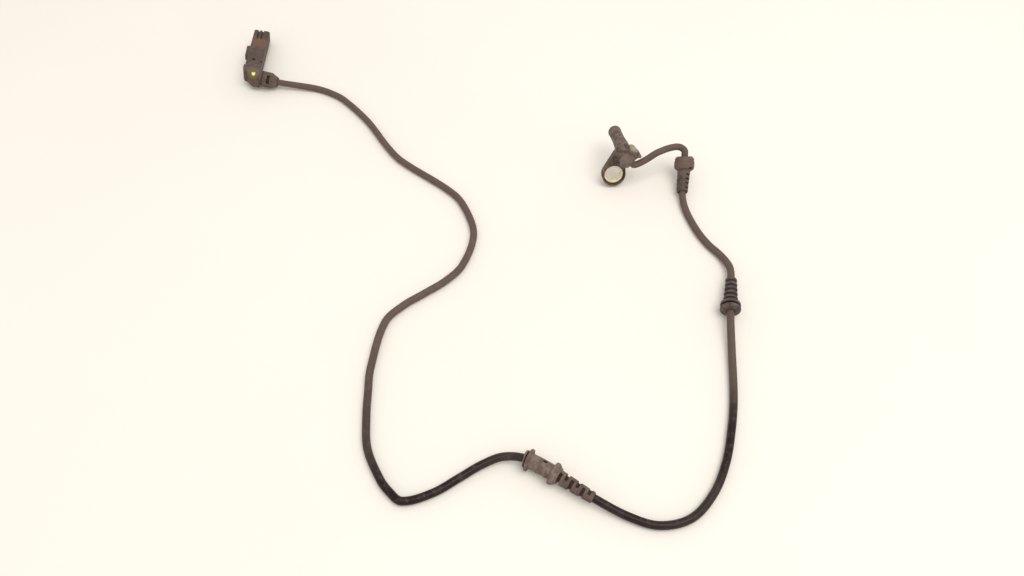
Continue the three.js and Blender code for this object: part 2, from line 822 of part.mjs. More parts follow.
// Drawn from the relief's free end; the thin flange is the last
function makeSpoolGrommet() {
  const slotSpan = slotFirst + (reliefSlots - 1) * slotPitch;
  const nearFlange = reliefTail + slotSpan;
  const barrel = nearFlange + spoolNear / 2;
  const thinFlange = barrel + spoolLength;
  const neck = thinFlange + spoolFar;
  const disc = neck + spoolNeck;
  const end = disc + spoolDiscWidth;
  const shape = turned([
    [boreRadius, 0],
    [reliefEndRadius - 0.4, 0],
    [reliefEndRadius, 0.5],
    [reliefRadius, nearFlange - spoolNear],
    [spoolDiscRadius, nearFlange - spoolNear],
    [spoolDiscRadius, nearFlange - spoolNear + 0.9],
    [spoolFlangeRadius - 1.3, nearFlange - spoolNear + 1.1],
    [spoolFlangeRadius, nearFlange - 0.2],
    [spoolFlangeRadius, barrel - 0.4],
    [spoolFlangeRadius - 0.4, barrel],
    [spoolRadius, barrel],
    [spoolRadius, thinFlange],
    [spoolFlangeRadius - 0.3, thinFlange],
    [spoolFlangeRadius, thinFlange + 0.3],
    [spoolFlangeRadius, neck - 0.3],
    [spoolFlangeRadius - 0.3, neck],
    [spoolRadius - 0.4, neck],
    [spoolRadius - 0.4, disc],
    [spoolDiscRadius, disc],
    [spoolDiscRadius, end - 0.3],
    [spoolDiscRadius - 0.3, end],
    ...boreRows(end, 0),
  ]);
  const cuts = [];
  for (let i = 0; i < reliefSlots; i += 1) {
    const side = i % 2 ? -1 : 1;
    const height = nearFlange - slotFirst - i * slotPitch;
    cuts.push(box(
      [4 * reliefRadius, 4 * reliefRadius, slotWidth],
      [side * (2 * reliefRadius - slotKeep), 0, height],
    ));
  }
  const [pocketAlong, pocketAcross, pocketDeep] = spoolPocket;
  cuts.push(box(
    [pocketAcross, 2 * pocketDeep, pocketAlong],
    [0, spoolRadius, barrel + spoolPocketShare * spoolLength],
  ).rotateZ(radians(spoolPocketTurn)));
  return cut(shape, ...cuts);
}

const innerStart = route.lengthTo(innerGrommetPoint);
add(part, "inner_grommet", onCable(makeInnerGrommet(), innerStart), "#5d5049", 0.7);
const middleStart = route.lengthTo(middleGrommetPoint);
add(part, "middle_grommet", onCable(makeMiddleGrommet(), middleStart), "#4b423e", 0.7);
const spoolStart = route.lengthTo(spoolGrommetPoint);
add(part, "spool_grommet", onCable(makeSpoolGrommet(), spoolStart), "#7d6a5e", 0.7);

export default part;
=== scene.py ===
# Wheel speed sensor on a pale floor: moulded head, loose cable with three rubber
# mouldings, angled plug. Forms are drawn in millimetres and made metres as they are placed.
import math
from bisect import bisect

import bmesh
import bpy
from mathutils import Matrix, Vector


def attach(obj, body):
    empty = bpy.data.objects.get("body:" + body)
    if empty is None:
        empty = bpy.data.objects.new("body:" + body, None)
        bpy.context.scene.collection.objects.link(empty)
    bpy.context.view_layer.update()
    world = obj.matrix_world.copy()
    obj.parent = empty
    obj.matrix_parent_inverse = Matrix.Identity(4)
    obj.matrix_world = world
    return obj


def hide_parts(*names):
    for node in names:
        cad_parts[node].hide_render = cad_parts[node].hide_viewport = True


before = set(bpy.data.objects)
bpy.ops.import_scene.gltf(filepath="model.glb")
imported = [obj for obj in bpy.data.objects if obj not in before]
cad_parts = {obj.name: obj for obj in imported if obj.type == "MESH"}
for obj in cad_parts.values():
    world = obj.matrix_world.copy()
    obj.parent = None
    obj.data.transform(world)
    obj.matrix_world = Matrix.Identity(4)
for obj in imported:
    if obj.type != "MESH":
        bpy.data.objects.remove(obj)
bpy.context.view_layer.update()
scene = bpy.context.scene
mm = 0.001
clear = 0.3  # between pieces that sit together, as in the solids
cableHole = 2.75
print("frame loaded:", len(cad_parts), "nodes")


def turnOf(degrees, axis):
    return Matrix.Rotation(math.radians(degrees), 4, axis)


# Several settings by their names
def sizes(look, names):
    return [look[name] for name in names.split()]


def linked(name, data):
    made = bpy.data.objects.new(name, data)
    scene.collection.objects.link(made)
    return made


def rectangle(wide, high):
    x, y = wide / 2, high / 2
    return [(-x, -y), (x, -y), (x, y), (-x, y)]


# Camera, lamps and floor

viewLook = {
    "eye": (-80.7, -422.8, 433.9), "aim": (-80.7, -113.3, 0.0), "lens": 27.42, "sensor": 36,
    "skyColour": (1.0, 0.975, 0.95), "skyStrength": 0.8,
    "keyPlace": (0.5, -0.45, 1.9), "keyAim": (-0.08, -0.1, 0),
    "keyColour": (1.0, 0.97, 0.93), "keyPower": 20.0, "keySize": 1.6,
    "floorColour": (0.9, 0.86, 0.79), "floorShade": 0.975, "floorCloud": 3.0,
    "floorWide": 5.0, "floorRough": 0.75, "floorGloss": 0.2,
}


def lookFrom(thing, eye, aim):
    thing.location = eye
    thing.rotation_mode = "QUATERNION"
    thing.rotation_quaternion = (aim - eye).to_track_quat("-Z", "Y")


def makeCamera(look):
    data = bpy.data.cameras.new("photoCamera")
    data.lens = look["lens"]
    data.sensor_width = look["sensor"]
    camera = linked("photoCamera", data)
    lookFrom(camera, Vector(look["eye"]) * mm, Vector(look["aim"]) * mm)
    data.clip_start = 0.01
    scene.camera = camera


def makeLight(look):
    world = bpy.data.worlds.new("softSky")
    world.use_nodes = True
    background = world.node_tree.nodes["Background"]
    background.inputs["Color"].default_value = (*look["skyColour"], 1)
    background.inputs["Strength"].default_value = look["skyStrength"]
    scene.world = world
    lamp = bpy.data.lights.new("softKey", "AREA")
    lamp.energy = look["keyPower"]
    lamp.shape = "DISK"
    lamp.size = look["keySize"]
    lamp.color = look["keyColour"]
    key = linked("softKey", lamp)
    lookFrom(key, Vector(look["keyPlace"]), Vector(look["keyAim"]))


scene.view_settings.view_transform = "Standard"
makeCamera(viewLook)
makeLight(viewLook)
print("camera and light placed")


# Shader writing

def feed(tree, socket, value):
    value = getattr(value, "socket", value)
    if isinstance(value, bpy.types.NodeSocket):
        tree.links.new(value, socket)
    elif socket.type == "RGBA" and len(value) == 3:
        socket.default_value = (*value, 1)
    else:
        socket.default_value = value


def addNode(tree, kind, settings=None, inputs=None):
    made = tree.nodes.new(kind)
    for key, value in (settings or {}).items():
        setattr(made, key, value)
    for key, value in (inputs or {}).items():
        feed(tree, made.inputs[key], value)
    return made


class Signal:
    # One output of a node; sums written with it become Math nodes
    def __init__(self, finish, socket):
        self.finish = finish
        self.socket = socket

    def math(self, operation, first, second):
        return self.finish.node("ShaderNodeMath", {"operation": operation}, {0: first, 1: second})

    def __add__(self, other):
        return self.math("ADD", self, other)

    def __radd__(self, other):
        return self.math("ADD", other, self)

    def __sub__(self, other):
        return self.math("SUBTRACT", self, other)

    def __rsub__(self, other):
        return self.math("SUBTRACT", other, self)

    def __mul__(self, other):
        return self.math("MULTIPLY", self, other)

    def __rmul__(self, other):
        return self.math("MULTIPLY", other, self)

    # 0 below the first value and 1 above the second, with a smooth way between
    def between(self, low, high):
        settings = {"interpolation_type": "SMOOTHSTEP"}
        return self.finish.node("ShaderNodeMapRange", settings, {0: self, 1: low, 2: high})


class Finish:
    def __init__(self, name):
        self.material = bpy.data.materials.new(name)
        self.material.use_nodes = True
        self.tree = self.material.node_tree
        self.shader = self.tree.nodes["Principled BSDF"]
        self.place = self.node("ShaderNodeTexCoord", output="Object")

    def node(self, kind, settings=None, inputs=None, output=0):
        return Signal(self, addNode(self.tree, kind, settings, inputs).outputs[output])

    def set(self, **sockets):
        for key, value in sockets.items():
            feed(self.tree, self.shader.inputs[key.replace("_", " ")], value)

    # Colours are mixed by a mask
    def blend(self, mask, under, over):
        settings = {"data_type": "RGBA"}
        return self.node("ShaderNodeMix", settings, {0: mask, 6: under, 7: over}, output=2)

    def stretched(self, scale, turn):
        return self.node("ShaderNodeMapping", {}, {0: self.place, 2: turn, 3: scale})

    def noise(self, scale, detail, rough, place=None):
        return self.node("ShaderNodeTexNoise", {}, {
            "Vector": place or self.place, "Scale": scale, "Detail": detail, "Roughness": rough,
        })

    def cells(self, scale):
        return self.node("ShaderNodeTexVoronoi", {}, {"Vector": self.place, "Scale": scale})

    def part(self, vector, axis):
        return self.node("ShaderNodeSeparateXYZ", {}, {0: vector}, output=axis)

    def upward(self):
        return self.part(self.node("ShaderNodeNewGeometry", output="Normal"), "Z")

    def edges(self):
        return self.node("ShaderNodeNewGeometry", output="Pointiness")

    def bump(self, height, strength, distance):
        inputs = {"Height": height, "Strength": strength, "Distance": distance}
        return self.node("ShaderNodeBump", {}, inputs)

    # A spot with a torn edge, solid inside the first distance and gone past the second
    def spot(self, centre, inner, outer, torn, squeeze=(1, 1, 1)):
        kind = "ShaderNodeVectorMath"
        offset = self.node(kind, {"operation": "SUBTRACT"}, {0: self.place, 1: centre})
        shaped = self.node(kind, {"operation": "MULTIPLY"}, {0: offset, 1: squeeze})
        away = self.node(kind, {"operation": "LENGTH"}, {0: shaped}, output="Value")
        return 1 - (away + (torn - 0.5) * (outer * 0.9)).between(inner, outer)


# Settings of a moulded plastic or rubber; a piece states what it changes
def darkMould(**changes):
    return {
        "dark": (0.055, 0.038, 0.03), "light": (0.11, 0.08, 0.065),
        "cloudScale": 300, "cloudRange": (0.4, 0.6),
        "dust": (0.24, 0.18, 0.14), "dustScale": 260, "dustRange": (0.42, 0.72),
        "dustShare": 0.3, "upwardRange": (0.15, 0.95),
        "edge": (0.2, 0.15, 0.12), "edgeRange": (0.53, 0.6), "edgeShare": 0.4,
        # the near-black hollow colour is painted shade for creases and deep grooves
        "hollow": (0.022, 0.014, 0.012), "hollowRange": (0.41, 0.485), "hollowShare": 0.75,
        "deepRange": (0.15, 0.8), "deepShare": 0.0,
        "scratchScale": (2600, 260, 900), "scratchTurn": (0.3, 0.5, 0.8),
        "scratchRange": (0.66, 0.72), "scratchShare": 0.25,
        "speckScale": 900, "speckRange": (0.0, 0.16), "speckShare": 0.25, "grainScale": 2400,
        "rough": 0.56, "dustRough": 0.22, "cloudRough": 0.25, "fineRough": 0.15, "gloss": 0.22,
        "relief": 0.4, "reliefDepth": 0.00012,
        "stains": [], "dabs": [], "tornScale": 420, "dabSqueeze": (1, 0.68, 1), **changes,
    }


# Clouded colour, stains and painted highlight and shade spots, dust on upper faces, rubbed edges,
# fine scratches, painted shade in hollows and deep grooves
def mouldedFinish(name, look):
    finish = Finish(name)
    cloud = finish.noise(look["cloudScale"], 5, 0.62)
    fine = finish.noise(look["grainScale"], 3, 0.7)
    patches = finish.noise(look["dustScale"], 6, 0.7)
    colour = finish.blend(cloud.between(*look["cloudRange"]), look["dark"], look["light"])
    # stains together with painted highlight and shade spots
    for centre, inner, outer, stain, share in look["stains"]:
        colour = finish.blend(finish.spot(centre, inner, outer, cloud) * share, colour, stain)
    dust = (patches * 0.75 + fine * 0.25).between(*look["dustRange"])
    dust = dust * finish.upward().between(*look["upwardRange"])
    rubbed = (finish.edges() + (patches - 0.5) * 0.03).between(*look["edgeRange"])
    scratchPlace = finish.stretched(look["scratchScale"], look["scratchTurn"])
    scratch = finish.noise(1.0, 2, 0.5, scratchPlace).between(*look["scratchRange"])
    specks = 1 - finish.cells(look["speckScale"]).between(*look["speckRange"])
    # Painted shade: concave creases and corners are darkened towards the near-black colour
    hollow = 1 - finish.edges().between(*look["hollowRange"])
    for mask, share, paint in (
        (dust, "dustShare", "dust"), (rubbed, "edgeShare", "edge"),
        (scratch, "scratchShare", "edge"), (specks, "speckShare", "dust"),
        (hollow, "hollowShare", "hollow"),
    ):
        colour = finish.blend(mask * look[share], colour, look[paint])
    # Painted shade: points lying deep between ribs, flanges and slot walls are darkened
    if look["deepShare"]:
        deep = finish.node("ShaderNodeAttribute", {"attribute_name": "deep"}, output="Fac")
        deep = (deep + (cloud - 0.5) * 0.5).between(*look["deepRange"])
        colour = finish.blend(deep * look["deepShare"], colour, look["hollow"])
    torn = finish.noise(look["tornScale"], 3, 0.6)
    for centre, inner, outer, paint, share in look["dabs"]:
        dab = finish.spot(centre, inner, outer, torn, look["dabSqueeze"])
        colour = finish.blend(dab * share, colour, paint)
    rough = (look["rough"] + dust * look["dustRough"] + (cloud - 0.5) * look["cloudRough"]
             + (fine - 0.5) * look["fineRough"])
    relief = fine * 0.6 + cloud * 0.25 - scratch * 0.3
    finish.set(Base_Color=colour, Roughness=rough, Specular_IOR_Level=look["gloss"],
               Normal=finish.bump(relief, look["relief"], look["reliefDepth"]))
    return finish.material


# Metal, turned or drawn, with its shine broken by tarnish
def metalFinish(name, bright, dull, **changes):
    look = {
        "cloudScale": 900, "tarnishRange": (0.5, 0.75), "lineScale": (2500, 300, 2500),
        "lineTurn": (0, 0, 0), "lineRange": (0.4, 0.75), "lineShare": 0.3, "rough": 0.28,
        "tarnishRough": 0.25, "lineRough": 0.12, "grime": 0.2, "metal": 0.92,
        "relief": 0.35, "reliefDepth": 0.00006, **changes,
    }
    finish = Finish(name)
    cloud = finish.noise(look["cloudScale"], 6, 0.65)
    fine = finish.noise(look["cloudScale"] * 6, 4, 0.7)
    tarnish = (cloud * 0.7 + fine * 0.3).between(*look["tarnishRange"])
    colour = finish.blend(tarnish, bright, dull)
    lines = finish.noise(1.0, 2, 0.5, finish.stretched(look["lineScale"], look["lineTurn"]))
    colour = finish.blend(lines.between(*look["lineRange"]) * look["lineShare"], colour, dull)
    rough = look["rough"] + tarnish * look["tarnishRough"] + (lines - 0.5) * look["lineRough"]
    height = lines * 0.6 + fine * 0.4
    finish.set(Base_Color=colour, Roughness=rough, Metallic=look["metal"] - tarnish * look["grime"],
               Normal=finish.bump(height, look["relief"], look["reliefDepth"]))
    return finish.material


def makeFloor(look):
    data = bpy.data.meshes.new("paleFloor")
    wide = look["floorWide"]
    data.from_pydata([(x, y, 0) for x, y in rectangle(wide, wide)], [], [(0, 1, 2, 3)])
    floor = linked("paleFloor", data)
    finish = Finish("paleFloorPaint")
    cloud = finish.noise(look["floorCloud"], 3, 0.5)
    deeper = tuple(part * look["floorShade"] for part in look["floorColour"])
    colour = finish.blend(cloud.between(0.35, 0.7), look["floorColour"], deeper)
    finish.set(Base_Color=colour, Roughness=look["floorRough"],
               Specular_IOR_Level=look["floorGloss"])
    data.materials.append(finish.material)


makeFloor(viewLook)
print("floor laid")


# Form making: meshes drawn in millimetres about their own axes

def closed(name, vertices, faces):
    data = bpy.data.meshes.new(name)
    data.from_pydata(vertices, [], faces)
    work = bmesh.new()
    work.from_mesh(data)
    bmesh.ops.remove_doubles(work, verts=work.verts, dist=1e-5)
    bmesh.ops.recalc_face_normals(work, faces=work.faces)
    work.to_mesh(data)
    work.free()
    return linked(name, data)


# Rounds the corners of a line of points; each corner gives up to this length on both sides
def rounded(points, radius, loop=False, steps=3):
    count = len(points)
    result = []
    for i, corner in enumerate(points):
        here = Vector(corner)
        if not loop and i in (0, count - 1):
            result.append(here)
            continue
        before = Vector(points[i - 1])
        after = Vector(points[(i + 1) % count])
        give = min(radius, (before - here).length * 0.45, (after - here).length * 0.45)
        start = here + (before - here).normalized() * give
        end = here + (after - here).normalized() * give
        for step in range(steps + 1):
            t = step / steps
            result.append(start * (1 - t) ** 2 + here * 2 * t * (1 - t) + end * t * t)
    return result


# Adds points so that no step is longer than this
def spaced(points, longest):
    result = [points[0]]
    for here, there in zip(points, points[1:]):
        parts = max(1, math.ceil((there - here).length / longest))
        result += [here.lerp(there, (k + 1) / parts) for k in range(parts)]
    return result


# Turned about +Z from (radius, height) pairs that start and end on the axis
def turned(name, profile, sides, soft, longest=1.2):
    line = spaced(rounded(profile, soft), longest)
    spins = [2 * math.pi * k / sides for k in range(sides)]
    vertices = [(r * math.cos(spin), r * math.sin(spin), z) for r, z in line for spin in spins]
    faces = []
    for low in range(0, (len(line) - 1) * sides, sides):
        high = low + sides
        for k in range(sides):
            after = (k + 1) % sides
            faces.append((low + k, low + after, high + after, high + k))
    return closed(name, vertices, faces)


# A plain round rod about +Z
def rod(name, radius, low, high, sides, soft=0.02):
    return turned(name, [(0, low), (radius, low), (radius, high), (0, high)], sides, soft)


# An outline made solid along +Z
def prism(name, outline, low, high, corner=0.02, bevel=0):
    line = rounded(outline, corner, loop=True)
    count = len(line)
    vertices = [(x, y, z) for z in (low, high) for x, y in line]
    faces = [tuple(range(count)), tuple(range(count, 2 * count))]
    faces += [(k, (k + 1) % count, count + (k + 1) % count, count + k) for k in range(count)]
    made = closed(name, vertices, faces)
    if bevel:
        soft = made.modifiers.new("rim", "BEVEL")
        soft.width = bevel
        soft.segments = 3
        soft.limit_method = "ANGLE"
        soft.angle_limit = math.radians(50)
        applied(made)
    return made


def block(name, size, centre):
    wide, deep, high = size
    return moved(prism(name, rectangle(wide, deep), -high / 2, high / 2), centre)


def transformed(made, matrix):
    made.data.transform(matrix)
    if matrix.determinant() < 0:
        made.data.flip_normals()
    return made


def moved(made, by):
    return transformed(made, Matrix.Translation(by))


def applied(made):
    graph = bpy.context.evaluated_depsgraph_get()
    data = bpy.data.meshes.new_from_object(made.evaluated_get(graph))
    made.modifiers.clear()
    old, made.data = made.data, data
    bpy.data.meshes.remove(old)
    return made


def removed(made):
    data = made.data
    bpy.data.objects.remove(made)
    bpy.data.meshes.remove(data)


# Overlapping forms grow together as in a mould, with small fillets where they meet
def grownTogether(name, forms, look):
    work = bmesh.new()
    for form in forms:
        work.from_mesh(form.data)
        removed(form)
    data = bpy.data.meshes.new(name)
    work.to_mesh(data)
    work.free()
    made = linked(name, data)
    weld = made.modifiers.new("weld", "REMESH")
    weld.mode = "VOXEL"
    weld.voxel_size = look["grain"]
    weld.use_smooth_shade = True
    ease = made.modifiers.new("ease", "SMOOTH")
    ease.factor = 0.5
    ease.iterations = look["passes"]
    return applied(made)


def cutBy(made, cutters):
    for cutter in cutters:
        cut = made.modifiers.new("cut", "BOOLEAN")
        cut.operation = "DIFFERENCE"
        cut.solver = "EXACT"
        cut.object = cutter
    applied(made)
    for cutter in cutters:
        removed(cutter)
    return made


# Writes how far each point of a form about +Z lies below the surface before and after it; the
# finishes use it to paint shade into grooves
def markHollows(made, span=9, step=0.25, sectors=40):
    data = made.data
    heights = [vertex.co.z for vertex in data.vertices]
    low = min(heights)
    count = int((max(heights) - low) / step) + 1
    tops = [[0.0] * sectors for row in range(count)]
    places = []
    for vertex in data.vertices:
        x, y, z = vertex.co
        row = min(int((z - low) / step), count - 1)
        sector = int((math.atan2(y, x) / (2 * math.pi) + 1) * sectors) % sectors
        radius = math.hypot(x, y)
        tops[row][sector] = max(tops[row][sector], radius)
        places.append((radius, row, sector))
    deep = data.attributes.new("deep", "FLOAT", "POINT")
    for index, (radius, row, sector) in enumerate(places):
        sides = tops[max(0, row - span):row], tops[row + 1:row + span + 1]
        edge = min(max((top[sector] for top in side), default=0) for side in sides)
        deep.data[index].value = edge - radius


creaseAngle = math.radians(38)


def finished(made, material, node):
    made.data.materials.clear()
    made.data.materials.append(material)
    made.data.shade_smooth()
    made.data.set_sharp_from_angle(angle=creaseAngle)
    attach(made, "root")
    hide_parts(node)
    print("made", made.name, len(made.data.polygons), "faces")
    return made


# Repeats a form along +Z. Turn is added from copy to copy; End Scale is the last one's width
def makeRepeatTree():
    tree = bpy.data.node_groups.new("repeatAlong", "GeometryNodeTree")
    face = tree.interface
    face.new_socket("Geometry", in_out="OUTPUT", socket_type="NodeSocketGeometry")
    for name, kind in (("Geometry", "Geometry"), ("Count", "Int"), ("Pitch", "Float"),
                       ("Turn", "Float"), ("End Scale", "Float"), ("Finish", "Material")):
        face.new_socket(name, in_out="INPUT", socket_type="NodeSocket" + kind)

    def node(kind, inputs=None, settings=None):
        return addNode(tree, kind, settings, inputs).outputs[0]

    def worked(operation, first, second):
        return node("ShaderNodeMath", {0: first, 1: second}, {"operation": operation})

    given = addNode(tree, "NodeGroupInput").outputs
    step = node("ShaderNodeCombineXYZ", {"Z": given["Pitch"]})
    line = node("GeometryNodeMeshLine", {"Count": given["Count"], "Offset": step},
                {"mode": "OFFSET"})
    index = node("GeometryNodeInputIndex")
    angle = node("ShaderNodeCombineXYZ", {"Z": worked("MULTIPLY", index, given["Turn"])})
    turn = node("FunctionNodeEulerToRotation", {0: angle})
    steps = worked("MAXIMUM", worked("SUBTRACT", given["Count"], 1.0), 1.0)
    growth = worked("SUBTRACT", given["End Scale"], 1.0)
    wide = worked("ADD", 1.0, worked("MULTIPLY", worked("DIVIDE", index, steps), growth))
    scale = node("ShaderNodeCombineXYZ", {"X": wide, "Y": wide, "Z": 1.0})
    copies = node("GeometryNodeInstanceOnPoints", {
        "Points": line, "Instance": given["Geometry"], "Rotation": turn, "Scale": scale,
    })
    real = node("GeometryNodeRealizeInstances", {0: copies})
    dressed = node("GeometryNodeSetMaterial", {"Geometry": real, "Material": given["Finish"]})
    addNode(tree, "NodeGroupOutput", {}, {0: dressed})
    return tree


repeatTree = makeRepeatTree()


# The copies get their finish with the whole piece, so Finish stays empty here
def repeated(made, count, pitch, turn=0.0, endScale=1.0):
    copies = made.modifiers.new("repeat", "NODES")
    copies.node_group = repeatTree
    values = {"Count": count, "Pitch": pitch, "Turn": turn, "End Scale": endScale}
    for socket in repeatTree.interface.items_tree:
        if socket.in_out == "INPUT" and socket.name in values:
            copies[socket.identifier] = values[socket.name]
    return applied(made)


# Cable's way over the floor, in millimetres

routeLook = {
    "radius": 2.5, "length": 1.02,
    "headPlace": (-0.904, -3.795, 28.781), "headTurn": (20.0, 13.1, 5.2),
    "endInHead": (2.6, -5.33, -7.64), "exitInHead": (9.2, -7.6, -9.9), "leadOut": 3.2,
    "plugPlace": (-295.9, 98.0, 10.17), "plugTurn": (3.5, 12.0, 3.0),
    "armTurn": -10.5, "armOffset": -3.0, "armEnds": (21.6, 6.0),
    # a point of two numbers lies at the resting height
    "restHeight": 2.7,
    "points": [
        (16.4, -13.3, 20.9), (27.4, -7.8, 24.5), (41.5, -1.0, 23.2), (47.4, -1.9, 20.9),
        (47.9, -5.6, 17.8), (47.7, -13.5, 9.7), (45.2, -31.3, 4.8), (46.3, -45.3, 2.8),
        (51.9, -64.8), (58.1, -77.4), (65.5, -88.1, 3.2), (69.3, -98.8, 4.5), (68.0, -111.0, 6.1),
        (65.1, -125.8, 6.9), (62.1, -142.8, 7.5), (60.2, -164.1, 4.2), (56.1, -198.4),
        (51.3, -220.0), (44.6, -241.0), (34.8, -259.4), (20.1, -273.9), (1.6, -278.0),
        (-16.0, -272.9, 3.5), (-35.0, -263.4, 6.5), (-71.1, -241.0, 7.0), (-85.4, -237.9, 4.6),
        (-98.4, -242.4, 3.3), (-110.3, -249.6), (-126.0, -259.2), (-143.4, -264.0),
        (-151.1, -258.4), (-157.3, -250.6), (-166.4, -231.8), (-169.2, -211.2), (-170.0, -194.5),
        (-170.2, -177.5), (-164.3, -142.7), (-153.5, -129.7), (-140.0, -119.7), (-126.3, -109.3),
        (-115.2, -95.9), (-108.1, -69.4), (-113.1, -47.9), (-124.2, -29.2), (-165.4, 4.6),
        (-177.5, 19.6), (-196.2, 48.8), (-218.1, 74.0), (-230.0, 82.5), (-243.8, 88.4, 2.8),
    ],
    "innerPoint": 7, "middlePoint": 15, "spoolPoint": 26,
}


# Place of a rigid end: tilt, roll and heading in degrees
def placeOf(place, turn):
    tilt, roll, heading = turn
    return Matrix.Translation(place) @ turnOf(heading, "Z") @ turnOf(-tilt, "X") @ turnOf(roll, "Y")


headFrame = placeOf(routeLook["headPlace"], routeLook["headTurn"])
plugFrame = placeOf(routeLook["plugPlace"], routeLook["plugTurn"])
armFrame = Matrix.Translation((0, routeLook["armOffset"], 0)) @ turnOf(routeLook["armTurn"], "Z")
toMetres = Matrix.Scale(mm, 4)


class Route:
    def __init__(self, look, steps=48):
        start = Vector(look["endInHead"])
        leave = Vector(look["exitInHead"])
        out = leave + (leave - start).normalized() * look["leadOut"]
        self.points = [headFrame @ start, headFrame @ leave, headFrame @ out]
        rest = look["restHeight"]
        self.points += [Vector((*point, rest)[:3]) for point in look["points"]]
        self.points += [plugFrame @ armFrame @ Vector((reach, 0, 0)) for reach in look["armEnds"]]
        self.exit = self.points[1]
        self.measure(steps)

    # Handles point along the line between the neighbours, a third of the way to each
    def handle(self, index, towards):
        last = len(self.points) - 1
        here = self.points[index]
        line = self.points[min(index + 1, last)] - self.points[max(index - 1, 0)]
        other = self.points[min(max(index + towards, 0), last)]
        reach = (here - other).length / 3
        return here + line.normalized() * reach * towards

    def measure(self, steps):
        self.rows = []
        self.marks = []
        length = 0.0
        previous = self.points[0]
        for index, (here, there) in enumerate(zip(self.points, self.points[1:])):
            leave, arrive = self.handle(index, 1), self.handle(index + 1, -1)
            self.marks.append(length)
            for step in range(steps):
                t = step / steps
                u = 1 - t
                point = (here * u ** 3 + leave * 3 * u * u * t + arrive * 3 * u * t * t
                         + there * t ** 3)
                slope = ((leave - here) * u * u + (arrive - leave) * 2 * u * t
                         + (there - arrive) * t * t)
                length += (point - previous).length
                previous = point
                self.rows.append((length, point, slope.normalized()))
        self.length = length

    def at(self, distance):
        after = bisect(self.rows, distance, 1, len(self.rows) - 1, key=lambda row: row[0])
        (near, here, slope), (far, there, nextSlope) = self.rows[after - 1:after + 1]
        share = (distance - near) / max(far - near, 1e-9)
        along = slope.lerp(nextSlope, share).normalized()
        left = Vector((0, 0, 1)).cross(along).normalized()
        return here.lerp(there, share), left, along.cross(left)

    # Wraps a form drawn about +Z round the cable, from one of its points
    def wrapped(self, made, point):
        start = self.marks[routeLook[point]]
        markHollows(made)
        for vertex in made.data.vertices:
            point, left, above = self.at(start + vertex.co.z)
            vertex.co = (point + left * vertex.co.x + above * vertex.co.y) * mm
        made.data.update()
        return made


route = Route(routeLook)
print("cable's middle line:", round(route.length, 1), "mm")


def makeCable(look):
    curve = bpy.data.curves.new("sheathed_cable", "CURVE")
    curve.dimensions = "3D"
    curve.resolution_u = 20
    curve.bevel_depth = look["radius"] * mm
    curve.bevel_resolution = 7
    curve.use_fill_caps = True
    spline = curve.splines.new("BEZIER")
    spline.bezier_points.add(len(route.points) - 1)
    for index, knot in enumerate(spline.bezier_points):
        knot.handle_left_type = knot.handle_right_type = "FREE"
        knot.co = route.points[index] * mm
        knot.handle_left = route.handle(index, -1) * mm
        knot.handle_right = route.handle(index, 1) * mm
    return linked("sheathed_cable", curve)


# The sheath is dark and faintly glossy near the viewer, dull and dusty towards the far end
def sheathFinish(look):
    finish = Finish("cableSheath")
    cloud = finish.noise(look["cloudScale"], 6, 0.65)
    fine = finish.noise(look["grainScale"], 3, 0.7)
    drift = finish.noise(look["reachScale"], 2, 0.5)
    along = finish.part(finish.place, "Y")
    far = (along + (drift - 0.5) * look["dustyDrift"]).between(*look["dustyFrom"])
    colour = finish.blend(drift.between(*look["driftRange"]), look["dark"], look["light"])
    scuff = cloud.between(*look["scuffRange"])
    colour = finish.blend(scuff * look["scuffShare"], colour, look["scuff"])
    colour = finish.blend(far * (0.55 + cloud * 0.4), colour, look["worn"])
    mud = (cloud * 0.6 + fine * 0.4).between(*look["mudRange"])
    mud = mud * finish.upward().between(*look["upwardRange"])
    colour = finish.blend(mud * look["mudShare"], colour, look["mud"])
    nicks = 1 - finish.cells(look["nickScale"]).between(*look["nickRange"])
    colour = finish.blend(nicks * look["nickShare"], colour, look["mud"])
    rough = look["rough"] + far * 0.2 + mud * 0.3 + (cloud - 0.5) * 0.3
    height = fine * 0.5 + cloud * 0.5 - nicks * 0.5
    finish.set(Base_Color=colour, Roughness=rough, Specular_IOR_Level=look["gloss"],
               Normal=finish.bump(height, look["relief"], look["reliefDepth"]))
    return finish.material


cableLook = {
    "dark": (0.013, 0.006, 0.005), "light": (0.03, 0.018, 0.015), "driftRange": (0.38, 0.62),
    "scuff": (0.06, 0.043, 0.035), "scuffRange": (0.45, 0.75), "scuffShare": 0.5,
    "worn": (0.145, 0.103, 0.083), "dustyFrom": (-0.25, -0.14), "dustyDrift": 0.12,
    "mud": (0.2, 0.155, 0.12), "mudRange": (0.52, 0.66), "mudShare": 0.3,
    "upwardRange": (0.0, 0.9), "nickScale": 420, "nickRange": (0.02, 0.14), "nickShare": 0.35,
    "cloudScale": 240, "grainScale": 1900, "reachScale": 14,
    "rough": 0.34, "gloss": 0.2, "relief": 0.3, "reliefDepth": 0.0001,
}
cable = makeCable(routeLook)
cable.data.materials.append(sheathFinish(cableLook))
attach(cable, "root")
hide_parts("cable")
print("cable laid")


# Sensor head. Its own axes: +Y along the probe, +Z from the bolt to the probe

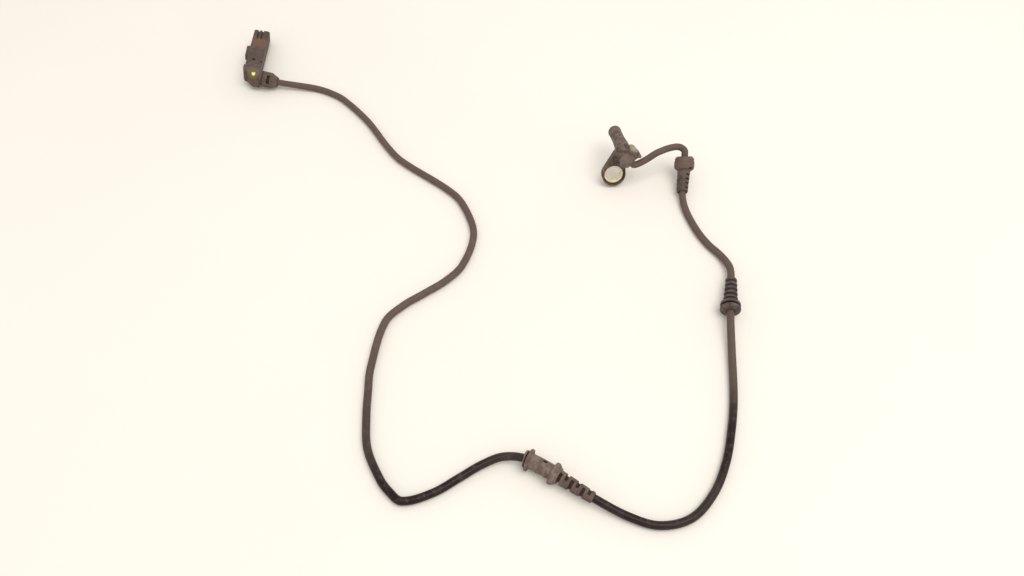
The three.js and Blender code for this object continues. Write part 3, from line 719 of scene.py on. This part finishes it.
headLook = {
    "probeRadius": 4.9, "probeLength": 25.0, "tipRound": 1.8, "probeWaist": 0.25,
    "waistStart": 3.2, "waistEnd": 4.4, "waistStep": 0.4, "bossGrow": 0.3,
    "lugSpacing": 22.6, "lugRadius": 8.8, "lugTop": 2.2, "lugThick": 6.5,
    "blockBack": 10.8, "blockFront": 1.6, "blockRight": 12.2, "blockFoot": 14.0,
    "blockLeft": 2.2, "bumpRadius": 3.7, "bumpRight": 7.6, "bumpDrop": 1.5, "bumpIn": 1.4,
    "hookReach": 2.9, "hookDrop": 3.1, "hookRound": 1.3,
    "shoulderLine": [(-4.0, -3.0), (-3.4, -13.0), (2.0, -14.4), (2.0, -3.0)],
    "shoulderFront": 5.8, "shoulderBack": 8.6,
    "holeRadius": 7.5, "rimRaise": 0.35, "rimInset": 0.9, "boreRadius": 2.8, "boreMouth": 3.2,
    "chamberRadius": 3.5, "chamberBack": 7.6, "tipWall": 1.1,
    "passageSize": (6.5, 6.0, 10.44), "passageAt": (2.15, -4.6, -5.22),
    "grain": 0.27, "passes": 3,
}
alongProbe = turnOf(-90, "X")
asSlab = turnOf(90, "X")  # outline's y becomes z, thickness goes to -y


def lugOutline(look):
    big, small, apart = sizes(look, "lugRadius lugTop lugSpacing")
    lean = math.asin((big - small) / apart)
    line = []
    for radius, drop, first, sweep, steps in (
        (big, apart, math.pi - lean, math.pi + 2 * lean, 40),
        (small, 0, lean, math.pi - 2 * lean, 24),
    ):
        for k in range(steps + 1):
            angle = first + sweep * k / steps
            line.append((radius * math.cos(angle), radius * math.sin(angle) - drop))
    return line


def blockOutline(look):
    right, left, foot = sizes(look, "blockRight blockLeft blockFoot")
    reach, drop, bend = sizes(look, "hookReach hookDrop hookRound")
    return [
        (-left, -3), (left - 1.2, -foot), (right - 5.0, 0.3 - foot), (right - 2.6, 3.2 - foot),
        (right - 0.8, -drop - 2.6), (right + 0.9, -drop - bend - 0.2),
        (right + reach - 0.6, -drop - bend), (right + reach, -drop - 0.5),
        (right + reach - 0.3, 0.4 - drop), (right + reach - bend, bend - drop),
        (right - 0.2, -0.5), (right - 2, 0.6), (0.5, 2.3), (-left, 1.2),
    ]


def makeHead(look):
    radius, tip, bend, waist = sizes(look, "probeRadius probeLength tipRound probeWaist")
    back, front, boss = sizes(look, "blockBack blockFront bossGrow")
    waistStart, waistEnd, step = sizes(look, "waistStart waistEnd waistStep")
    thick, spacing, lugRadius = sizes(look, "lugThick lugSpacing lugRadius")
    hole, raised, inset = sizes(look, "holeRadius rimRaise rimInset")
    probe = turned("probe", [
        (0, -back), (radius + boss, -back), (radius + boss, -front), (radius, -front),
        (radius, waistStart), (radius - waist, waistStart + step),
        (radius - waist, tip - waistEnd), (radius, tip - waistEnd + step),
        (radius, tip - bend), (radius - bend, tip), (0, tip),
    ], 72, 0.9)
    transformed(probe, alongProbe)
    lug = transformed(prism("lug", lugOutline(look), 0, thick, 0.2, 0.7), asSlab)
    rearBlock = transformed(prism("rearBlock", blockOutline(look), front, back, 0.9, 0.8), asSlab)
    wide, bumpBack = look["bumpRadius"], look["bumpIn"] - back
    bump = turned("bump", [
        (0, bumpBack), (wide - 0.8, bumpBack), (wide, bumpBack + 1.4),
        (wide, -front - 0.9), (wide - 1, -front), (0, -front),
    ], 48, 0.7)
    moved(transformed(bump, alongProbe), (look["bumpRight"], 0, -look["bumpDrop"]))
    # low shoulder that joins the rear block's left wall to the lug
    shoulder = prism("shoulder", look["shoulderLine"], look["shoulderFront"], look["shoulderBack"],
                     0.6, 0.7)
    transformed(shoulder, asSlab)
    # raised land round the bush
    rim = turned("rim", [
        (hole - inset, -1), (lugRadius - 0.3, -1), (lugRadius - 0.3, 0), (lugRadius - 0.8, raised),
        (hole - inset, raised), (hole - inset, -1),
    ], 64, 0.15)
    transformed(rim, Matrix.Translation((0, 0.1 - thick, -spacing)) @ asSlab)
    head = grownTogether("moulded_head", [probe, lug, rearBlock, bump, shoulder, rim], look)

    bushHole = turned("bushHole", [
        (0, -9), (hole + 0.9, -9), (hole + 0.9, 0.05 - thick - raised), (hole, 0.5 - thick),
        (hole, -0.5), (hole + 0.4, 0.1), (hole + 0.4, 1.5), (0, 1.5),
    ], 72, 0.05)
    moved(transformed(bushHole, alongProbe), (0, 0, -spacing))
    start, leave = Vector(routeLook["endInHead"]), Vector(routeLook["exitInHead"])
    way = (leave - start).normalized()
    inner, mouth = look["boreRadius"], look["boreMouth"]
    bore = turned("cableBore", [
        (0, 0), (inner, 0), (inner, 9.2), (mouth, 9.9), (mouth, 22), (0, 22),
    ], 48, 0.05)
    facing = Vector((0, 0, 1)).rotation_difference(way).to_matrix().to_4x4()
    transformed(bore, Matrix.Translation(start - way * clear) @ facing)
    chamber = rod("chamber", look["chamberRadius"], -look["chamberBack"], tip - look["tipWall"],
                  40, 0.05)
    transformed(chamber, alongProbe)
    passage = block("passage", look["passageSize"], look["passageAt"])
    cutBy(head, [bushHole, bore, chamber, passage])
    return transformed(head, toMetres @ headFrame)


# Stains and painted highlight or shade spots on a rigid end: centre on its own axes, solid radius,
# outer radius, colour, share
def spotsOn(endFrame, *spots):
    return [(tuple(endFrame @ Vector(centre) * mm), *rest) for centre, *rest in spots]


headFinish = mouldedFinish("headPlastic", darkMould(
    dark=(0.066, 0.046, 0.037), light=(0.165, 0.12, 0.098), cloudScale=330,
    dust=(0.3, 0.235, 0.18), dustRange=(0.4, 0.66), edge=(0.26, 0.2, 0.16), edgeShare=0.45,
    relief=0.45,
    stains=spotsOn(
        headFrame,
        # darker round the bush on the lug's back face
        ((0, -6.5, -24.0), 0.007, 0.0105, (0.05, 0.031, 0.024), 0.75),
        # painted shade: a darker spot on the plate left of the rear block
        ((-5.5, -5.5, -12.0), 0.004, 0.0085, (0.055, 0.036, 0.028), 0.65),
        ((4.0, -10.5, -7.0), 0.002, 0.006, (0.19, 0.145, 0.13), 0.6),
        # painted highlight: a cream spot on top of the rounded bump
        ((7.8, -6.0, 2.2), 0.0034, 0.0064, (0.38, 0.32, 0.245), 0.85),
        ((8.5, -9.0, -9.0), 0.002, 0.006, (0.13, 0.11, 0.072), 0.5),
        ((1.0, 8.0, 5.0), 0.0008, 0.0026, (0.05, 0.037, 0.03), 0.35),
        ((0, 19.0, 4.9), 0.003, 0.006, (0.16, 0.105, 0.085), 0.45),
        ((-0.6, 25.4, 1.0), 0.0012, 0.0034, (0.15, 0.14, 0.105), 0.5),
    ),
))
finished(makeHead(headLook), headFinish, "sensor_housing")

bushLook = {
    "outer": 7.2, "bore": 5.2, "back": -4.8, "front": 0.3, "chamfer": 0.4, "boreChamfer": 0.5,
    "groove": 0.12, "rings": 8, "ringFirst": 0.9, "ringPitch": 0.5,
}


def makeBush(look):
    outer, bore, back, front = sizes(look, "outer bore back front")
    rim, lip, groove = sizes(look, "chamfer boreChamfer groove")
    line = [(bore + lip, back), (outer - rim, back), (outer, back + rim)]
    for k in range(look["rings"]):  # knurl rings that hold it in the plastic
        z = back + look["ringFirst"] + k * look["ringPitch"]
        line += [(outer, z), (outer - groove, z + groove), (outer, z + 2 * groove)]
    line += [(outer, front - rim), (outer - rim, front), (bore + lip, front), (bore, front - lip),
             (bore, back + lip), (bore + lip, back)]
    bush = turned("turned_bush", line, 96, 0.08, 0.7)
    transformed(bush, Matrix.Translation((0, 0, -headLook["lugSpacing"])) @ alongProbe)
    return transformed(bush, toMetres @ headFrame)


bushFinish = metalFinish(
    "bushBrass", (0.86, 0.79, 0.58), (0.6, 0.48, 0.27), cloudScale=420, tarnishRange=(0.42, 0.7),
    lineScale=(300, 6000, 300), rough=0.38, grime=0.3, metal=0.55)
finished(makeBush(bushLook), bushFinish, "bolt_bush")


# Grommets, drawn about +Z from the end towards the head

innerLook = {
    "collar": 7.4, "collarLong": 10.6, "mouth": 4.4, "shoulder": 2.6, "sleeve": 4.7,
    "sleeveEnd": 4.1, "sleeveLong": 18.5, "slots": 7, "slotFirst": 3.0, "slotRun": 11.5,
    "slotWide": 1.3, "slotDeep": 1.75, "slotTurn": -62.0,
    "pocketSize": (2.8, 3.6, 1.5), "pocketIn": 1.9, "pocketTurn": -32.0,
    "grain": 0.23, "passes": 2,
}


def makeInnerGrommet(look):
    collar, long, mouth, lip = sizes(look, "collar collarLong mouth shoulder")
    sleeve, thin, bore = *sizes(look, "sleeve sleeveEnd"), cableHole
    end = long + look["sleeveLong"]
    shape = turned("collar_grommet", [
        (bore, 1.4), (mouth, 0.2), (mouth + 0.9, 0), (collar - 0.9, lip - 1.4),
        (collar - 0.1, lip), (collar - 0.65, lip + 0.7), (collar, lip + 1.4),
        (collar, long - 2.2), (collar - 0.7, long - 0.7), (sleeve + 0.3, long),
        (sleeve, long + 1), ((sleeve + thin) / 2, (long + end) / 2),
        (thin, end - 0.8), (thin - 0.7, end), (bore, end), (bore, 1.4),
    ], 72, 0.45)
    step = look["slotRun"] / (look["slots"] - 1)
    slot = block("slot", (4 * sleeve, 2 * sleeve, look["slotWide"]),
                 (0, 2 * sleeve - look["slotDeep"], 0))
    repeated(slot, look["slots"], -step, math.pi)
    moved(transformed(slot, turnOf(look["slotTurn"], "Z")), (0, 0, end - look["slotFirst"]))
    pocket = block("pocket", look["pocketSize"], (0, collar, long - look["pocketIn"]))
    transformed(pocket, turnOf(look["pocketTurn"], "Z"))
    cutBy(shape, [slot, pocket])
    shape = grownTogether("collar_grommet", [shape], look)
    return route.wrapped(shape, "innerPoint")


# Cuts the cable's hole through a grommet that was grown together
def boredOut(shape, end):
    return cutBy(shape, [rod("bored", cableHole, -1, end + 1, 48)])


middleLook = {
    "ribs": 5, "pitch": 3.95, "ribStart": 3.9, "ribEnd": 4.75, "groove": 0.95, "flange": 6.8,
    "flangeWide": 2.85, "flangeGap": 1.5, "flangeGroove": 1.9,
    "grain": 0.22, "passes": 2,
}


def makeMiddleGrommet(look):
    bore, pitch, rib, lastRib = cableHole, *sizes(look, "pitch ribStart ribEnd")
    flange, width = sizes(look, "flange flangeWide")
    root = rib - look["groove"]
    ribs = turned("ribs", [
        (bore, 0), (root + 0.05, 0), (rib - 0.25, 0.25), (rib, 0.7), (rib, 0.43 * pitch),
        (rib - 0.4, 0.52 * pitch), (root, 0.6 * pitch), (root, pitch + 0.3),
        (bore, pitch + 0.3), (bore, 0),
    ], 64, 0.3)
    repeated(ribs, look["ribs"], pitch, endScale=lastRib / rib)
    near = look["ribs"] * pitch + 0.6
    far = near + width + look["flangeGap"]
    end = far + width
    waist = flange - look["flangeGroove"]
    core = turned("core", [
        (bore, 0), (bore + 0.3, 0), (bore + 0.7, near - 1.2), (lastRib, near - 0.4),
        (flange - 0.7, near + 0.5), (flange - 0.1, near + 1.1), (flange - 0.1, near + width),
        (waist, near + width + 0.2), (waist, far), (flange, far + 0.2), (flange, end - 1.1),
        (flange - 1.3, end - 0.1), (bore + 1.6, end + 0.3), (bore + 0.3, end + 0.4),
        (bore, end + 0.4), (bore, 0),
    ], 72, 0.35)
    shape = grownTogether("bellows_grommet", [ribs, core], look)
    return route.wrapped(boredOut(shape, end), "middlePoint")


spoolLook = {
    "reliefEnd": 3.45, "relief": 4.3, "slots": 6, "pitch": 3.73, "slotWide": 1.8,
    "first": 4.0, "tail": 3.2, "keep": 1.2, "lining": 2.98, "near": 3.1, "far": 1.6,
    "flange": 6.9, "barrel": 4.65, "barrelLong": 14.4, "disc": 5.2, "discWide": 1.2,
    "neck": 0.8, "pocketSize": (1.6, 2.4, 2.6), "pocketShare": 0.41, "pocketTurn": 30.0,
    "grain": 0.23, "passes": 2,
}


def makeSpoolGrommet(look):
    bore, flange, disc, barrel = cableHole, *sizes(look, "flange disc barrel")
    relief, tail, near = sizes(look, "relief reliefEnd near")
    nearEnd = look["tail"] + look["first"] + (look["slots"] - 1) * look["pitch"]
    nearStart = nearEnd - near
    start = nearEnd + near / 2
    stop = start + look["barrelLong"]
    neck = stop + look["far"]
    last = neck + look["neck"]
    end = last + look["discWide"]
    shape = turned("spool_moulding", [
        (bore, 0), (tail - 0.4, 0), (tail, 0.5), (relief, nearStart), (disc, nearStart),
        (disc, nearStart + 0.9), (flange - 1.3, nearStart + 1.1), (flange, nearEnd - 0.2),
        (flange, start - 0.4), (flange - 0.4, start), (barrel, start), (barrel, stop),
        (flange - 0.3, stop), (flange, stop + 0.3), (flange, neck - 0.3), (flange - 0.3, neck),
        (barrel - 0.4, neck), (barrel - 0.4, last), (disc, last), (disc, end - 0.3),
        (disc - 0.3, end), (bore, end), (bore, 0),
    ], 72, 0.3)
    slot = block("slot", (4 * relief, 4 * relief, look["slotWide"]),
                 (2 * relief - look["keep"], 0, 0))
    repeated(slot, look["slots"], -look["pitch"], math.pi)
    moved(slot, (0, 0, nearEnd - look["first"]))
    pocketAt = start + look["pocketShare"] * look["barrelLong"]
    pocket = block("pocket", look["pocketSize"], (0, barrel, pocketAt))
    transformed(pocket, turnOf(look["pocketTurn"], "Z"))
    cutBy(shape, [slot, pocket])
    lining = rod("lining", look["lining"], 0.2, nearEnd, 48, 0.1)
    shape = grownTogether("spool_moulding", [shape, lining], look)
    return route.wrapped(boredOut(shape, end), "spoolPoint")


# Place on the cable's middle line, past one of its points
def onRoute(point, past):
    return tuple(route.at(route.marks[routeLook[point]] + past)[0] * mm)


# The grommets' grooves, slots and creases are darkened with painted shade
innerFinish = mouldedFinish("collarRubber", darkMould(
    dark=(0.06, 0.041, 0.033), light=(0.115, 0.083, 0.068), rough=0.62, gloss=0.2,
    deepRange=(0.2, 0.9), deepShare=0.85,
    stains=[
        (onRoute("innerPoint", 4.0), 0.0085, 0.0125, (0.155, 0.106, 0.088), 0.75),
        (onRoute("innerPoint", 26.0), 0.004, 0.012, (0.075, 0.058, 0.045), 0.6),
    ]))
middleFinish = mouldedFinish("bellowsRubber", darkMould(
    dark=(0.07, 0.05, 0.046), light=(0.125, 0.095, 0.085), rough=0.6, gloss=0.2,
    hollow=(0.03, 0.018, 0.018), hollowShare=0.85, deepRange=(0.1, 0.75), deepShare=0.9))
spoolFinish = mouldedFinish("spoolRubber", darkMould(
    dark=(0.115, 0.083, 0.067), light=(0.2, 0.15, 0.122), dust=(0.33, 0.26, 0.21),
    dustShare=0.35, hollow=(0.034, 0.015, 0.012), hollowShare=0.8, deepRange=(0.05, 0.5),
    deepShare=0.95, rough=0.62, gloss=0.2,
    stains=[(onRoute("spoolPoint", 10.0), 0.009, 0.0135, (0.085, 0.057, 0.048), 0.8)]))
innerGrommet = finished(
    makeInnerGrommet(innerLook), innerFinish, "inner_grommet")
middleGrommet = finished(
    makeMiddleGrommet(middleLook), middleFinish, "middle_grommet")
spoolGrommet = finished(
    makeSpoolGrommet(spoolLook), spoolFinish, "spool_grommet")


# Plug. Its own axes: +Y out of the socket, +X towards the cable, +Z up

plugLook = {
    "top": 6.0, "noseWide": 13.0, "noseHigh": 11.8, "noseReach": 54.3, "noseRound": 1.8,
    "bodyLeft": 7.3, "bodyRight": 6.6, "bodyReach": 33.0, "bodyInset": 0.2, "bodyFoot": 9.8,
    "bodyCut": 8.6, "shoulder": 3.6, "elbowRound": 3.0, "underCut": 3.0,
    "taperStart": 9.0, "taperEnd": 13.0,
    "latchWide": 2.6, "latchStart": 18.0, "latchEnd": 31.8, "latchLow": -1.3, "latchTop": 4.3,
    "armRadius": 4.9, "armReach": 15.6, "sealLong": 4.0,
    "socketDeep": 11.0, "socketWide": 9.4, "socketHigh": 7.8, "socketRound": 1.8,
    "wall": 3.0, "wire": 4.4, "wireBore": 2.8, "wireStop": 5.7,
    "keyWide": 1.5, "keyDeep": 1.5, "keyLong": 13.0, "keyApart": 3.2, "keyMiddle": -0.6,
    "ribSize": (0.5, 18, 0.7), "ribAt": 42.3, "ribLow": -1.6, "ribPitch": 3.2,
    "landSize": (7.5, 7.0, 0.5), "landAt": 34.8,
    "recess": (-0.8, 12.0), "recessRadius": 1.3,
    "notchSize": (1.6, 1.0, 1.2), "notchAt": (5.4, 10.0),
    "nickSize": (1.2, 2.6, 2.0), "nickIn": 6.3, "nickAt": 8.4, "nickTurn": 100.0,
    "grain": 0.27, "passes": 2,
}
capLook = {
    "radius": 6.3, "start": 9.6, "end": 21.6, "taper": 4.6, "wall": 1.2,
    "windowSize": (6.6, 2.4), "windowAt": 14.5, "windowTurn": 52.0, "grain": 0.22, "passes": 2,
}
# drawn about +Z, laid along the arm with its +Y up
alongArm = armFrame @ turnOf(90, "Z") @ turnOf(90, "X")
backward = turnOf(-90, "X")  # thickness goes to +y


def plugForms(look):
    top, wide, reach, high = sizes(look, "top noseWide noseReach noseHigh")
    foot, left, right, cut = sizes(look, "bodyFoot bodyLeft bodyRight bodyCut")
    nose = prism("nose", rectangle(wide, high), -4, reach, look["noseRound"], 0.5)
    transformed(nose, backward)
    side, bodyReach = wide / 2 - look["bodyInset"], look["bodyReach"]
    body = prism("body", [
        (-side, -4), (-side, bodyReach), (side, bodyReach), (side, look["taperEnd"]),
        (right, look["taperStart"]), (right, -4),
    ], -top, top, 0.7, 1.6)
    shoulder = look["shoulder"]
    elbow = prism("elbow", [
        (right, -foot), (cut - left, -foot), (-left, cut - foot), (-left, shoulder),
        (right, shoulder),
    ], -top, top, 0.5, look["elbowRound"])
    latchLeft = -wide / 2 - look["latchWide"]
    start, end, low, high = sizes(look, "latchStart latchEnd latchLow latchTop")
    latch = prism("latch", [
        (0, start), (0, end), (latchLeft, end), (latchLeft + 0.3, start + 3),
        (latchLeft + 0.1, start + 1), (latchLeft + 1.4, start),
    ], low, high, 0.4, 0.4)
    collar = rod("collar", capLook["radius"], 0, capLook["start"] - clear, 64, 0.3)
    tube = look["armReach"] - look["sealLong"] - clear
    arm = rod("arm", look["armRadius"], 0, tube, 64, 0.3)
    for form in (collar, arm):
        transformed(form, alongArm)
    # two thin guide ribs along the nose's right side and a land behind the key slots
    ribs = block("ribs", look["ribSize"], (wide / 2 + 0.05, look["ribAt"], look["ribLow"]))
    repeated(ribs, 2, look["ribPitch"])
    land = block("land", look["landSize"], (0, look["landAt"], look["noseHigh"] / 2 + 0.1))
    return [nose, body, elbow, latch, collar, arm, ribs, land]


def plugCutters(look):
    top, wide, reach, high = sizes(look, "top noseWide noseReach noseHigh")
    wall, wire, inner, stop = sizes(look, "wall wire wireBore wireStop")
    across, tall, bend = sizes(look, "socketWide socketHigh socketRound")
    socketBack = reach - look["socketDeep"]
    wallBack = socketBack - wall
    socket = prism("socket", rectangle(across, tall), socketBack, reach + 2, bend)
    mouth = prism("mouth", rectangle(across + 0.8, tall + 0.8), reach - 0.5, reach + 2, 2.0)
    for form in (socket, mouth):
        transformed(form, backward)
    channel = block("channel", (2 * wire, wallBack + wire, 2 * wire), (0, (wallBack - wire) / 2, 0))
    bore = turned("bore", [
        (0, 0), (wire, 0), (wire, stop), (inner, stop + 0.1), (inner, 30), (0, 30),
    ], 48, 0.02)
    transformed(bore, alongArm)
    hole = look["recessRadius"]
    pit = turned("pit", [
        (0, 4.4), (hole - 0.2, 4.4), (hole, 5.6), (hole + 0.5, 6.2), (hole + 0.5, 8), (0, 8),
    ], 32, 0.1)
    moved(pit, (*look["recess"], 0))
    # the lower edge on the cable's side is cut away, from a little outside the body
    corner, out = look["underCut"], 0.6
    under = prism("under", [
        (wide / 2 + out, -top - out), (wide / 2 + out, corner - top + out),
        (wide / 2 - corner - out, -top - out),
    ], look["taperStart"] + 1, reach + 1)
    transformed(under, backward @ Matrix.Scale(-1, 4, Vector((0, 1, 0))))
    cutters = [socket, mouth, channel, bore, pit, under]
    keyWide, keyDeep, keyLong = sizes(look, "keyWide keyDeep keyLong")
    for side in (-1, 1):
        key = look["keyMiddle"] + side * look["keyApart"] / 2
        cutters.append(block("key", (keyWide, keyLong + 1, 2 * keyDeep),
                             (key, reach - (keyLong - 1) / 2, high / 2)))
        cutters.append(block("slotInWall", (2.2, wall + 2, 1.4),
                             (side * 2.1, (wallBack + socketBack) / 2, 0)))
    cutters.append(block("notch", look["notchSize"], (*look["notchAt"], top)))
    nick = block("nick", look["nickSize"], (0, look["nickIn"], 0))
    lift = Matrix.Translation((0, 0, look["nickAt"]))
    cutters.append(transformed(nick, alongArm @ lift @ turnOf(look["nickTurn"], "Z")))
    return cutters


def makePlug(look):
    plug = grownTogether("plug_body", plugForms(look), look)
    return transformed(cutBy(plug, plugCutters(look)), toMetres @ plugFrame)


def makeCap(look):
    inner, seat = plugLook["armRadius"] + clear, plugLook["armReach"] + clear
    outer, start, end, taper = sizes(look, "radius start end taper")
    bore, thin = cableHole, cableHole + look["wall"]
    cap = turned("plug_cap", [
        (inner, start), (outer, start), (outer, end - taper - 0.6), (outer - 0.6, end - taper),
        (thin, end - 0.5), (thin - 0.5, end), (bore, end), (bore, seat), (inner, seat),
        (inner, start),
    ], 96, 0.35)
    window = prism("window", rectangle(*look["windowSize"]), 0, outer, 0.5)
    lift = Matrix.Translation((0, 0, look["windowAt"]))
    transformed(window, turnOf(look["windowTurn"], "Z") @ lift @ backward)
    cutBy(cap, [window])
    cap = grownTogether("plug_cap", [cap], look)
    return transformed(cap, toMetres @ plugFrame @ alongArm)


# The plug's plastic has a reddish stain on the nose and a dab of yellow paint at the elbow
plugFinish = mouldedFinish("plugPlastic", darkMould(
    dark=(0.07, 0.046, 0.039), light=(0.12, 0.086, 0.071), dustShare=0.22, edgeShare=0.3,
    stains=spotsOn(
        plugFrame,
        ((0.5, 36.5, 6.0), 0.0038, 0.0085, (0.17, 0.086, 0.06), 0.75),
        ((0.0, 49.5, 6.0), 0.004, 0.0095, (0.066, 0.053, 0.036), 0.75),
        ((-4.0, 15.0, 6.0), 0.005, 0.0125, (0.075, 0.058, 0.048), 0.85),
        ((4.0, 20.0, 5.0), 0.003, 0.0105, (0.088, 0.06, 0.053), 0.7),
        ((1.0, -5.0, 6.0), 0.003, 0.0085, (0.15, 0.117, 0.094), 0.75),
    ),
    dabs=spotsOn(
        plugFrame,
        ((1.4, -8.2, 5.6), 0.0024, 0.0043, (0.16, 0.13, 0.035), 0.9),
        ((2.0, -7.7, 5.8), 0.0010, 0.0016, (0.83, 0.76, 0.33), 1.0),
    ),
))
plugBody = finished(makePlug(plugLook), plugFinish, "plug_housing")
capFinish = mouldedFinish("capPlastic", darkMould(
    dark=(0.085, 0.059, 0.042), light=(0.135, 0.1, 0.074), dustShare=0.22))
plugCap = finished(makeCap(capLook), capFinish, "plug_rear_cap")


# Inner pieces keep their solids and get their own finishes

tinned = metalFinish(
    "tinnedCopper", (0.66, 0.64, 0.6), (0.4, 0.38, 0.35), lineTurn=(0, 0, 0.1))
crimped = metalFinish(
    "crimpBrass", (0.7, 0.58, 0.33), (0.45, 0.35, 0.19), cloudScale=1100,
    lineScale=(3000, 400, 3000), lineTurn=(0.2, 0, 0), rough=0.32)
magnet = metalFinish(
    "nickelPlate", (0.6, 0.6, 0.61), (0.38, 0.38, 0.4), cloudScale=1000,
    tarnishRange=(0.55, 0.8), lineScale=(900, 2600, 900), rough=0.24, grime=0.15)
resin = darkMould(dark=(0.012, 0.012, 0.013), light=(0.022, 0.022, 0.024), dustShare=0.0,
                  edge=(0.07, 0.07, 0.07), rough=0.4, cloudScale=700, speckShare=0.1)


def resinFinish(name, **changes):
    return mouldedFinish(name, dict(resin, **changes))


carrier = resinFinish("carrierPlastic", rough=0.55)
chip = resinFinish("chipResin", rough=0.3, light=(0.03, 0.03, 0.034))
darkCore = resinFinish("darkInsulation", light=(0.03, 0.032, 0.04))
brownCore = resinFinish("brownInsulation", dark=(0.15, 0.06, 0.025), light=(0.22, 0.09, 0.04))
seal = resinFinish("sealRubber", dark=(0.03, 0.022, 0.016), light=(0.055, 0.04, 0.028))
dressing = {"element_carrier": carrier, "sensing_chip": chip, "bias_magnet": magnet,
            "cable_seal": seal}
for side, insulation in (("left", darkCore), ("right", brownCore)):
    dressing |= {
        "chip_lead_" + side: tinned, "crimp_sleeve_" + side: crimped,
        "plug_terminal_" + side: tinned, "head_core_" + side: insulation,
        "plug_core_" + side: insulation,
    }
for node, material in dressing.items():
    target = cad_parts[node]
    target.data.materials.clear()
    target.data.materials.append(material)
print("inner pieces dressed")


route.exit * mm
